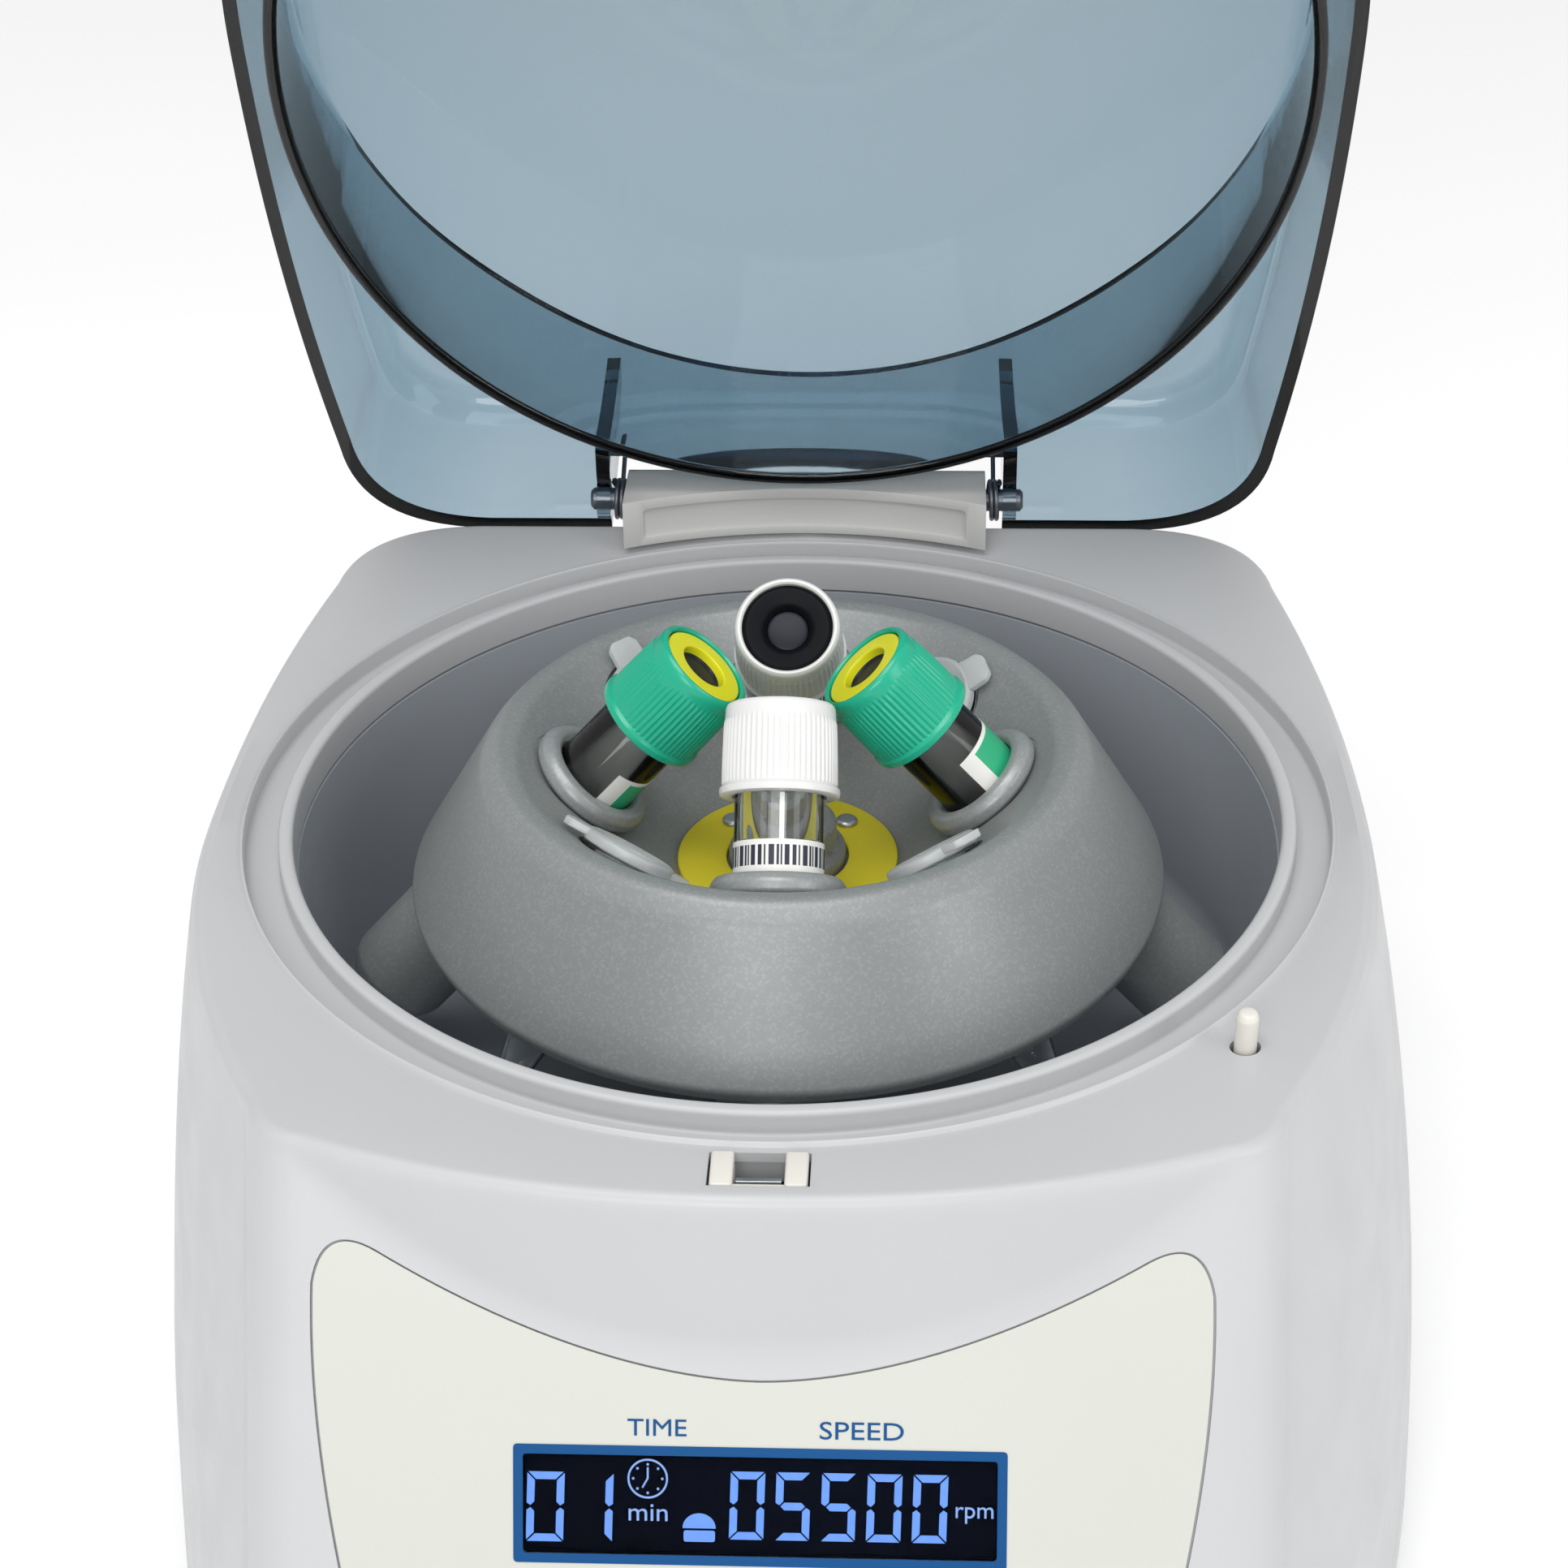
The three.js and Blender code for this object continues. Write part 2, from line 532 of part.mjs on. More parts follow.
function rotorBody() {
  const body = turned([
    [4.1, -30], [10, -30], [12, -18.4], [41, 5.4], [43.4, 4.8], [54.6, -12.4], [55, -14.8], [57, -14.9],
    [57.9, -12.6], [46, 7.4], [43.8, 9.7], [41, 9.7], [38.8, dishZ(38.8)], [17, DISH_FLOOR_Z],
    [4.1, DISH_FLOOR_Z],
  ], 40);
  const sleeveHoles = TUBE_AZIMUTHS.flatMap((a) => [
    drum(SLEEVE_R + 0.35, -95, -SLEEVE_SEAT + 2, 20).applyMatrix4(tubePlace(a)),
    drum(10.2, -SLEEVE_SEAT, -10, 20).applyMatrix4(tubePlace(a)),
  ]);
  const microHoles = MICROS.flatMap((place) => [
    drum(MICRO_R + 0.3, -50, 1, 14).applyMatrix4(microPlace(place)),
    drum(7.6, 0, 9, 16).applyMatrix4(microPlace(place)),
  ]);
  return cut(body, ...sleeveHoles, ...microHoles);
}

const tubeSleeve = () => turned([
  [0, -SLEEVE_END], [SLEEVE_R - 3.4, -SLEEVE_END], [SLEEVE_R, -SLEEVE_END + 3.4],
  [SLEEVE_R, -SLEEVE_SEAT + 0.3], [9.4, -SLEEVE_SEAT + 0.3], [9.8, -SLEEVE_SEAT + 1.6],
  [8.6, -SLEEVE_SEAT + 3.5], [6.8, -SLEEVE_SEAT + 2.8], [6.8, -TUBE_END + 2],
  [5.6, -TUBE_END + 0.2], [0, -SLEEVE_END + 1.4],
], 16);

// round-bottomed glass tube, open at the top
function sampleTube() {
  const arc = (r, from, to) => Array.from({ length: 4 }, (_, i) => {
    const angle = rad(from + (to - from) * i / 3);
    return [r * Math.sin(angle), -TUBE_END + 1 + TUBE_R - r * Math.cos(angle)];
  });
  return turned([
    ...arc(TUBE_R, 0, 90), [TUBE_R, -5.8], [5.5, -5.8], ...arc(5.5, 90, 0),
  ], 16);
}

const tubeCap = () => turned([
  [6.9, -0.3], [7.4, 0], [7.95, -0.8], [8.35, -12], [8.77, -12.6], [8.77, -13.5], [6.9, -13.5],
], 18);

const stopper = () => turned([
  [0, -1.8], [3.4, -1.8], [3.7, -0.7], [6.6, -0.7], [6.6, -5.5], [5.2, -5.5], [5.2, -13], [0, -13],
], 14);

// snap-cap microtube: rim, cap and tapered body, with the cap's thumb tab and its hinge strap
function microtube() {
  const bodyAndCap = turned([
    [0, -37], [1.6, -36.4], [2.2, -34], [MICRO_R - 0.2, -18], [MICRO_R, 0.3], [6.9, 0.3], [6.9, 1.9],
    [7.2, 2.1], [7.2, 3.6], [6.8, 4], [0, 4],
  ], 14);
  return join(bodyAndCap, box([6, -2.8, 2.6], [10.6, 2.8, 3.8]), box([-9.6, -2, 2.6], [-6, 2, 3.7]));
}

const hubDisc = () => cut(drum(17, DISH_FLOOR_Z + 0.3, DISH_FLOOR_Z + 1.2, 24), drum(9.4, -20, 0, 16));
const rotorNut = () => turned([
  [4.1, DISH_FLOOR_Z + 0.3], [9, DISH_FLOOR_Z + 0.3], [9, -10], [7.6, -8.6], [7.6, -5.4], [6.6, -4.4],
  [0, -4.4], [0, -7.2], [4.1, -7.2],
], 12);
const driveShaft = () => turned([
  [0, -59.2], [3.1, -59.2], [3.1, -36], [7, -35], [7, -30.3], [3.8, -30.3], [3.8, -12.6],
  [3.2, -7.5], [0, -7.5],
], 12);

// ---------------------------------------------------------------- colours
const paint = (color, roughness, metalness = 0, opacity = 1) => () => new THREE.MeshStandardMaterial({
  color, roughness, metalness, opacity, transparent: opacity < 1,
});
const shellGrey = paint(0xcfd1d3, 0.45);
const bracketGrey = paint(0xc9cacb, 0.45);
const bowlGrey = paint(0xa9b0b6, 0.4);
const overlayCream = paint(0xe8eae2, 0.35);
const smoke = paint(0x5f7f92, 0.12, 0, 0.45);
const rotorGrey = paint(0x989e9e, 0.5, 0.2);
const ivory = paint(0xe6e4dc, 0.4);
const white = paint(0xf2f2f0, 0.35);
const green = paint(0x30b890, 0.35);
const yellow = paint(0xdddd33, 0.4);
const nearBlack = paint(0x15161a, 0.5);
const clearGlass = paint(0xdde6e6, 0.05, 0, 0.3);
const clearPlastic = paint(0xd8dee2, 0.2, 0, 0.4);
const rubber = paint(0x242526, 0.85);
const steel = paint(0xb4b8ba, 0.3, 1);
const zinc = paint(0x9da2a6, 0.4, 1);
const boardGreen = paint(0x1c5a3c, 0.5);
const keyBlue = paint(0x1767a6, 0.4);

// ---------------------------------------------------------------- assembly
function piece(name, geometry, material) {
  const mesh = new THREE.Mesh(geometry, material());
  mesh.name = name;
  return mesh;
}

const machine = new THREE.Group();
machine.position.set(0, FRAME_Y, MACHINE_Z);
machine.add(
  piece('housing', housing(), shellGrey),
  piece('base_plate', basePlate(), shellGrey),
  piece('bowl_liner', bowlLiner(), bowlGrey),
  piece('hinge_bracket', hingeBlock(), bracketGrey),
  piece('hinge_pin_right', hingePin(1), steel),
  piece('hinge_pin_left', hingePin(-1), steel),
  piece('latch_guide', latchGuide(), ivory),
  piece('latch_hook', latchHook(), zinc),
  piece('latch_solenoid', latchSolenoid(), zinc),
  piece('lid_sense_pin', sensePin(), ivory),
  piece('lid_sense_switch', lidSwitch(), nearBlack),
  piece('power_inlet', powerInlet(), nearBlack),
  piece('power_switch_frame', switchFrame(), nearBlack),
  piece('power_switch_rocker', switchRocker(), nearBlack),
  piece('motor', motor(), steel),
  piece('motor_plate', motorPlate(), zinc),
);
const panel = new THREE.Group();
panel.applyMatrix4(PANEL_PLACE);
panel.add(
  piece('front_overlay', panelOverlay(), overlayCream),
  piece('display_window', displayWindow(), nearBlack),
  piece('display_module', displayModule(), nearBlack),
  piece('control_board', controlBoard(), boardGreen),
);
['time_up', 'time_down', 'start_stop', 'speed_down', 'speed_up'].forEach((label, i) => {
  panel.add(piece(`key_${label}`, keyCap(KEY_XS[i]), keyBlue));
});
machine.add(panel);
FEET.forEach((place, i) => machine.add(piece(`foot_${i + 1}`, foot(place), rubber)));
POSTS.forEach((place, i) => machine.add(piece(`motor_damper_${i + 1}`, damper(place), rubber)));

const lid = new THREE.Group();
lid.position.set(0, HINGE_Y, HINGE_Z);
lid.rotation.x = -rad(LID_OPEN_DEG);
const closedLid = new THREE.Group();
closedLid.position.set(0, -HINGE_Y, -HINGE_Z);
closedLid.add(
  piece('lid', lidShell(), smoke),
  piece('lid_catch', lidCatch(), zinc),
  piece('lid_spring_right', torsionSpring(1), steel),
  piece('lid_spring_left', torsionSpring(-1), steel),
);
lid.add(closedLid);
machine.add(lid);

const rotor = new THREE.Group();
rotor.add(
  piece('rotor', rotorBody(), rotorGrey),
  piece('hub_disc', hubDisc(), yellow),
  piece('rotor_nut', rotorNut(), rotorGrey),
  piece('drive_shaft', driveShaft(), steel),
);
TUBE_AZIMUTHS.forEach((azimuth, i) => {
  const greenCap = i % 2 === 1;
  const tube = new THREE.Group();
  tube.applyMatrix4(tubePlace(azimuth));
  tube.add(
    piece(`tube_sleeve_${i + 1}`, tubeSleeve(), rotorGrey),
    piece(`sample_tube_${i + 1}`, sampleTube(), clearGlass),
    piece(`tube_cap_${i + 1}`, tubeCap(), greenCap ? green : white),
    piece(`stopper_${i + 1}`, stopper(), greenCap ? yellow : nearBlack),
  );
  rotor.add(tube);
});
MICROS.forEach((place, i) => {
  const micro = piece(`microtube_${i + 1}`, microtube(), clearPlastic);
  micro.applyMatrix4(microPlace(place));
  rotor.add(micro);
});
machine.add(rotor);

export default machine;
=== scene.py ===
# Looks for the bench centrifuge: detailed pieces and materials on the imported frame.
# Shapes are worked out in millimetres in the deck frame, which has the rotor's axis at x = y = 0 and
# the deck's top at z = 0, and every finished mesh is then put in the row frame, in metres.
import math
import bpy
import bmesh
from mathutils import Matrix, Vector


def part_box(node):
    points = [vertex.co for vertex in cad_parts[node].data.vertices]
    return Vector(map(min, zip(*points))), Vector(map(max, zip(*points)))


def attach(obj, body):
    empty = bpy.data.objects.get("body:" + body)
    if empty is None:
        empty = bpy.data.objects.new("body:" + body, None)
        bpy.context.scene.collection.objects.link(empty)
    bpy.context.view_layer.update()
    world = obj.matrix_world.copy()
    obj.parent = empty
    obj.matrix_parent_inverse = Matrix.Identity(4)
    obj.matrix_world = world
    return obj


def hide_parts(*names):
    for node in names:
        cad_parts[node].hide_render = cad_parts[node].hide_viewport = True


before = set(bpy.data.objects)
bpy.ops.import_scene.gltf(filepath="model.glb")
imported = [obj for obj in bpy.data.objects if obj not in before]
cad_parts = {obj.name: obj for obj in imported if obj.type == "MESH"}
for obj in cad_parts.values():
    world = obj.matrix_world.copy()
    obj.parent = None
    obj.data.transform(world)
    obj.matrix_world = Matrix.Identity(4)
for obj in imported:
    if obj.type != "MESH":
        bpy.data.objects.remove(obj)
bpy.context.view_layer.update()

MM = 0.001

# ---- driving dimensions
_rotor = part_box("rotor")
AXIS = Vector(((_rotor[0][0] + _rotor[1][0]) / 2, (_rotor[0][1] + _rotor[1][1]) / 2,
               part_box("housing")[1][2]))
TO_ROW = Matrix.Translation(AXIS) @ Matrix.Scale(MM, 4)

BODY_DEPTH = 119.0
DECK_HALF_WIDTH = 87.0
BASE_HALF_WIDTH = 103.0
WALL = 2.6
DECK_EDGE = 1.8
EDGE_Y = -86.8
EDGE_SAGITTA = 3.0
BROW_REACH = 8.2
BROW_LEAN = 0.04
PANEL_LEAN = math.radians(28)
PANEL_Y = -83.0
KNEE_Z = -80.0
CREASE_BLEND = 0.9       # how softly the brow meets the panel, and the panel the upright foot
KNEE_BLEND = 8.0
REAR_Y = 87.5
REAR_FLARE = 12.5
REAR_WALL_Y = REAR_Y + REAR_FLARE
WALL_FOOT = -116.0
FRONT_HALF = 60.5        # half width of the front's broad middle, at the deck
WIDEST_Y = -5.0          # where the sides are farthest apart
SIDE_RUN = 72.7          # the sides draw in by the narrowing over this length behind it
REAR_CORNER_X = 58.0
INSET_SPAN = 90.0        # an inset is taken as a scale over this half width
OPENING_R = 82.0
GROOVE_FLOOR = -4.0
LIP_R = 76.9
LIP_TOP = -0.3
BOWL_R = 74.6
BOWL_FLOOR = -50.0
HINGE_Y = 90.0
HINGE_Z = 3.6
LID_OPEN = math.radians(74.5)
PIN_R = 1.95
BLOCK_HALF = 31.5
EAR_X = 34.6
EAR_THICK = 2.4
LID_REAR_Y = 95.0
SKIRT_FOOT_R = 81.0
SKIRT_ROOT_R = 84.0
SKIRT_THICK = 2.2
SKIRT_FOOT_Z = -2.6
TILT = math.radians(41.5)
CAP_TOP_R = 11.6
CAP_TOP_Z = 22.3
TUBE_R = 6.5
TUBE_END = 78.0
SLEEVE_R = 8.3
SLEEVE_SEAT = 28.8
SLEEVE_END = 80.0
MICRO_SEAT_R = 32.2
MICRO_SEAT_DEPTH = 1.4
ROTOR_RIM_Z = 10.0
DISH_FLOOR = -12.6
WINDOW_HALF = 31.3
WINDOW_TOP = -41.2
WINDOW_BOTTOM = -55.3
KEY_ROW = -70.5
KEY_XS = (-42.0, -22.5, 0.0, 22.5, 42.0)
KEY_NODES = ("key_time_up", "key_time_down", "key_start_stop", "key_speed_down", "key_speed_up")
INLET_X, SWITCH_X, INLET_Z = -42.0, 42.0, -92.0
PIN_X, PIN_Y = 64.0, -61.0
PIN_PLACE = Matrix.Translation((PIN_X, PIN_Y, 0))
SIDES = ((1, "right"), (-1, "left"))
TUBE_AZIMUTHS = (270, 0, 90, 180)
MICROS = ((225, -50), (315, 0), (45, -32), (135, 0))    # azimuth, and how far the thumb tab is turned

# from the panel's own frame to the deck's: y goes into the machine, z up the slope
PANEL = Matrix.Translation((0, PANEL_Y, 0)) @ Matrix.Rotation(-PANEL_LEAN, 4, "X")


# ---- mesh helpers
def new_object(name, data):
    obj = bpy.data.objects.new(name, data)
    bpy.context.scene.collection.objects.link(obj)
    return obj


def solid(name, verts, faces, matrix=None):
    """New mesh object from points in millimetres, welded and facing outwards."""
    mesh = bpy.data.meshes.new(name)
    mesh.from_pydata([tuple(v) for v in verts], [], faces)
    bm = bmesh.new()
    bm.from_mesh(mesh)
    bmesh.ops.remove_doubles(bm, verts=bm.verts, dist=1e-4)
    bmesh.ops.recalc_face_normals(bm, faces=bm.faces)
    bm.to_mesh(mesh)
    bm.free()
    if matrix is not None:
        mesh.transform(matrix)
    return new_object(name, mesh)


def bake_modifiers(obj):
    bpy.context.view_layer.update()
    depsgraph = bpy.context.evaluated_depsgraph_get()
    mesh = bpy.data.meshes.new_from_object(obj.evaluated_get(depsgraph))
    obj.modifiers.clear()
    old = obj.data
    obj.data = mesh
    bpy.data.meshes.remove(old)


def boolean(obj, tool, operation="DIFFERENCE"):
    mod = obj.modifiers.new("cut", "BOOLEAN")
    mod.operation = operation
    mod.solver = "EXACT"
    mod.object = tool
    bake_modifiers(obj)
    bpy.data.objects.remove(tool)
    return obj


def merged(name, objects):
    """One object that holds the meshes of several."""
    bm = bmesh.new()
    for obj in objects:
        bm.from_mesh(obj.data)
        bpy.data.objects.remove(obj)
    mesh = bpy.data.meshes.new(name)
    bm.to_mesh(mesh)
    bm.free()
    return new_object(name, mesh)


def beveled(obj, width, segments=2, angle=30):
    mod = obj.modifiers.new("bevel", "BEVEL")
    mod.width = width
    mod.segments = segments
    mod.limit_method = "ANGLE"
    mod.angle_limit = math.radians(angle)
    mod.use_clamp_overlap = True
    bake_modifiers(obj)
    return obj


def ring_faces(rings, count, closed_stack=False):
    faces = []
    for k in range(rings if closed_stack else rings - 1):
        a, b = k * count, ((k + 1) % rings) * count
        faces += [(a + i, a + (i + 1) % count, b + (i + 1) % count, b + i) for i in range(count)]
    return faces


def loft(name, loops, caps=True, closed_stack=False, matrix=None):
    count = len(loops[0])
    verts = [v for loop in loops for v in loop]
    faces = ring_faces(len(loops), count, closed_stack)
    if caps and not closed_stack:
        faces.append(tuple(range(count)))
        faces.append(tuple(range(len(verts) - count, len(verts))))
    return solid(name, verts, faces, matrix)


def fillet(points, steps=5, closed=True):
    """Outline of (x, y) or (x, y, radius) points with its corners rounded."""
    out = []
    n = len(points)
    for i, point in enumerate(points):
        x, y, *radius = point
        if not radius or (not closed and i in (0, n - 1)):
            out.append((x, y))
            continue
        here = Vector((x, y))
        before = Vector(points[i - 1][:2]) - here
        after = Vector(points[(i + 1) % n][:2]) - here
        turn = before.angle(after)
        reach = min(radius[0] / math.tan(turn / 2), before.length * 0.49, after.length * 0.49)
        start, end = here + before.normalized() * reach, here + after.normalized() * reach
        for k in range(steps + 1):
            t = k / steps
            p = (1 - t) ** 2 * start + 2 * t * (1 - t) * here + t * t * end
            out.append((p.x, p.y))
    return out


def turned(name, profile, sides=96, closed=True, matrix=None, steps=5):
    """Body turned about Z. A closed profile is a ring; an open one starts and ends on the axis."""
    outline = fillet(profile, steps, closed)
    loops = [[(r * math.cos(2 * math.pi * i / sides), r * math.sin(2 * math.pi * i / sides), z)
              for i in range(sides)] for r, z in outline]
    return loft(name, loops, caps=False, closed_stack=closed, matrix=matrix)


def drum(r, z0, z1, sides=64, matrix=None, top_r=None):
    return turned("tool", [(0, z0), (r, z0), (top_r or r, z1), (0, z1)], sides, False, matrix)


def box(lo, hi, matrix=None):
    (x0, y0, z0), (x1, y1, z1) = lo, hi
    verts = [(x, y, z) for x in (x0, x1) for y in (y0, y1) for z in (z0, z1)]
    faces = [(0, 1, 3, 2), (4, 6, 7, 5), (0, 4, 5, 1), (2, 3, 7, 6), (0, 2, 6, 4), (1, 5, 7, 3)]
    return solid("tool", verts, faces, matrix)


def prism_y(name, outline, y0, y1, matrix=None):
    return loft(name, [[(x, y, z) for x, z in outline] for y in (y0, y1)], matrix=matrix)


def on_panel(outline, y0, y1):
    """Prism drawn in the front panel's own frame."""
    return prism_y("panel", outline, y0, y1, PANEL)


def prism_x(name, outline, x0, x1):
    return loft(name, [[(x, y, z) for y, z in outline] for x in (x0, x1)])


def prism_z(name, outline, z0, z1, matrix=None):
    return loft(name, [[(x, y, z) for x, y in outline] for z in (z0, z1)], matrix=matrix)


def rounded_rect(w, h, r, cx=0.0, cy=0.0, steps=6):
    a, b = w / 2, h / 2
    corners = [(cx - a, cy - b, r), (cx + a, cy - b, r), (cx + a, cy + b, r), (cx - a, cy + b, r)]
    return fillet(corners, steps)


def ellipse(cx, cz, a, b, steps=48):
    return [(cx + a * math.cos(2 * math.pi * i / steps), cz + b * math.sin(2 * math.pi * i / steps))
            for i in range(steps)]


def finish_piece(obj, name, material, body, replaces, sharp=35):
    obj.name = name
    obj.data.name = name
    obj.data.transform(TO_ROW)
    obj.data.shade_smooth()
    obj.data.set_sharp_from_angle(angle=math.radians(sharp))
    obj.data.materials.clear()
    obj.data.materials.append(material)
    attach(obj, body)
    if replaces:
        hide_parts(*replaces)


def stand_in(obj, node, ending, material, body, sharp=35):
    """Detailed piece that takes a CAD node's place and is named after it."""
    finish_piece(obj, f"{node}_{ending}", material, body, [node], sharp)


# ---- the housing's form
def lesser(a, b, width):
    """Lesser of two values, rounded over where they differ by less than the width."""
    share = max(width - abs(a - b), 0) / width if width > 0 else 0
    return min(a, b) - share * share * width / 4


def front_y(x, z):
    """Front surface: a brow under the deck's bowed edge, then the sloped panel and an upright foot."""
    bow = BROW_REACH * (1 - min(1.0, abs(x) / FRONT_HALF) ** 2.3)
    brow = EDGE_Y + EDGE_SAGITTA * (x / 64) ** 2 - bow + BROW_LEAN * z
    panel = PANEL_Y - math.tan(PANEL_LEAN) * lesser(-z, -KNEE_Z, KNEE_BLEND)
    return lesser(brow, panel, CREASE_BLEND * min(1, -z / 8))


def curve(p0, p1, p2, steps):
    pts = []
    for i in range(steps):
        t = i / steps
        s = 1 - t
        pts.append((s * s * p0[0] + 2 * s * t * p1[0] + t * t * p2[0],
                    s * s * p0[1] + 2 * s * t * p1[1] + t * t * p2[1]))
    return pts


def half_section(z, rear_y, narrowing=7.0, turn=21):
    """Right half of a level section, from the front centre round to the rear centre."""
    t = min(1.0, max(0.0, -z / BODY_DEPTH))
    widest = DECK_HALF_WIDTH + (BASE_HALF_WIDTH - DECK_HALF_WIDTH) * (1 - (1 - t) ** 1.8)
    front_edge = FRONT_HALF + 2 * t
    corner_x, corner_y = 66 + 2 * t, front_y(front_edge, z) + 4.1
    fullness = 2.2 - 1.95 * t + 1.5 * t * t

    def side_x(y):
        if y < WIDEST_Y:
            return widest - (widest - corner_x) * ((WIDEST_Y - y) / (WIDEST_Y - corner_y)) ** fullness
        return widest - narrowing * ((y - WIDEST_Y) / SIDE_RUN) ** 2.1

    start, end = corner_y + 4, rear_y - turn
    points = [(x, front_y(x, z)) for x in (front_edge * i / 30 for i in range(30))]
    points += curve((front_edge, front_y(front_edge, z)), (corner_x + 0.6, front_y(corner_x, z) + 0.6),
                    (side_x(start), start), 12)
    points += [(side_x(y), y) for y in (start + (WIDEST_Y - start) * i / 20 for i in range(20))]
    points += [(side_x(y), y) for y in (WIDEST_Y + (end - WIDEST_Y) * i / 14 for i in range(14))]
    points += curve((side_x(end), end), (side_x(end) - 1.5, rear_y - 0.8), (REAR_CORNER_X, rear_y), 16)
    return points + [(REAR_CORNER_X * (1 - i / 14), rear_y) for i in range(15)]


def mirrored(half):
    """Closed outline from its right half, whose ends lie on the middle line."""
    return half + [(-x, y) for x, y in reversed(half[1:-1])]


def inset_loop(outline, inset, z):
    scale = 1 - inset / INSET_SPAN
    return [(x * scale, y * scale, z) for x, y in outline]


def rear_y_at(z):
    s = min(1.0, max(0.0, (-z - 3) / 42))
    return REAR_Y + REAR_FLARE * s * s * (3 - 2 * s)


def section(z, inset, rear_y=None, level=None):
    half = half_section(z, rear_y_at(z) if rear_y is None else rear_y)
    return inset_loop(mirrored(half), inset, z if level is None else level)


def around(loop, radius, z):
    """Circle whose points lie at the same bearings as a section's points."""
    return [(radius * x / math.hypot(x, y), radius * y / math.hypot(x, y), z) for x, y, _ in loop]


def panel_outline(margin):
    def top(x):
        return -31.4 + 18.3 * (abs(x) / 53) ** 1.8 - margin
    right = [(50 * i / 26, top(50 * i / 26)) for i in range(26)]
    right += curve((50, top(50)), (57.2 - margin, -10.9 - margin), (58.6 - margin, -19.5), 14)
    right += curve((58.6 - margin, -19.5), (59.2 - margin, -36), (55.4 - margin, -56.4), 14)
    right += curve((55.4 - margin, -56.4), (50.6 - margin, -83.6 + margin), (38, -84.8 + margin), 14)
    right += [(38 - 3.8 * i, -84.8 - 0.08 * i + margin) for i in range(11)]
    return mirrored(right)


def window_outline(margin, radius=0.8):
    width, height = 2 * (WINDOW_HALF - margin), WINDOW_TOP - WINDOW_BOTTOM - 2 * margin
    return rounded_rect(width, height, radius, 0, (WINDOW_TOP + WINDOW_BOTTOM) / 2)


# ---- materials
SHADER = "Principled BSDF"
NOISE_LOW, NOISE_HIGH = 0.3, 0.7    # the range that most of a noise lies in


def new_material(name):
    mat = bpy.data.materials.new(name)
    mat.use_nodes = True
    nodes, links = mat.node_tree.nodes, mat.node_tree.links
    return mat, nodes, links, nodes[SHADER]


def set_inputs(node, values):
    for name, value in values.items():
        node.inputs[name].default_value = value


def own_coordinates(nodes):
    """The object's own coordinates, in metres."""
    coord = nodes.get("coord") or nodes.new("ShaderNodeTexCoord")
    coord.name = "coord"
    return coord.outputs["Object"]


def noise(nodes, links, scale, detail, source=None):
    """Noise with so many cells per metre, over the object's own coordinates unless told otherwise."""
    tex = nodes.new("ShaderNodeTexNoise")
    set_inputs(tex, {"Scale": scale, "Detail": detail})
    links.new(source or own_coordinates(nodes), tex.inputs["Vector"])
    return tex.outputs["Fac"]


def ranged(nodes, links, source, low, high):
    node = nodes.new("ShaderNodeMapRange")
    set_inputs(node, {"From Min": NOISE_LOW, "From Max": NOISE_HIGH, "To Min": low, "To Max": high})
    links.new(source, node.inputs["Value"])
    return node.outputs["Result"]


def two_tone(nodes, links, source, dark, light, start=NOISE_LOW, end=NOISE_HIGH):
    ramp = nodes.new("ShaderNodeValToRGB")
    for stop, position, colour in zip(ramp.color_ramp.elements, (start, end), (dark, light)):
        stop.position = position
        stop.color = (*colour, 1)
    links.new(source, ramp.inputs["Fac"])
    return ramp.outputs["Color"]


def bumped(nodes, links, bsdf, source, strength, distance):
    bump = nodes.new("ShaderNodeBump")
    set_inputs(bump, {"Strength": strength, "Distance": distance})
    links.new(source, bump.inputs["Height"])
    links.new(bump.outputs["Normal"], bsdf.inputs["Normal"])


def moulded(name, colour, roughness, spread, grain, depth=0.00004, strength=0.35, wear=0.065):
    """Moulded plastic: a fine satin grain, a faint cloudiness and a few duller patches."""
    mat, nodes, links, bsdf = new_material(name)
    clouds = noise(nodes, links, 18, 4)
    dark = [c * (1 - spread) for c in colour]
    light = [min(1, c * (1 + spread)) for c in colour]
    links.new(two_tone(nodes, links, clouds, dark, light), bsdf.inputs["Base Color"])
    links.new(ranged(nodes, links, noise(nodes, links, 90, 5), roughness - wear, roughness + wear),
              bsdf.inputs["Roughness"])
    bumped(nodes, links, bsdf, noise(nodes, links, grain, 2), strength, depth)
    return mat


def printed(name, colour, roughness, spread):
    """Ink or label paper, with a finer and shallower grain than a moulding."""
    return moulded(name, colour, roughness, spread, 2600, 0.00002, 0.2)


def flaked(name, colour, roughness=0.42):
    """Grey plastic with a fine bright metallic flake."""
    mat, nodes, links, bsdf = new_material(name)
    flakes = nodes.new("ShaderNodeTexVoronoi")
    set_inputs(flakes, {"Scale": 2600})
    links.new(own_coordinates(nodes), flakes.inputs["Vector"])
    split = nodes.new("ShaderNodeSeparateColor")
    links.new(flakes.outputs["Color"], split.inputs["Color"])
    dark = [c * 0.96 for c in colour]
    light = [c * 1.09 for c in colour]
    links.new(two_tone(nodes, links, split.outputs["Red"], dark, light, 0.55, 0.95),
              bsdf.inputs["Base Color"])
    links.new(ranged(nodes, links, noise(nodes, links, 60, 4), roughness - 0.05, roughness + 0.07),
              bsdf.inputs["Roughness"])
    set_inputs(bsdf, {"Metallic": 0.25})
    bumped(nodes, links, bsdf, noise(nodes, links, 1800, 2), 0.3, 0.00003)
    return mat


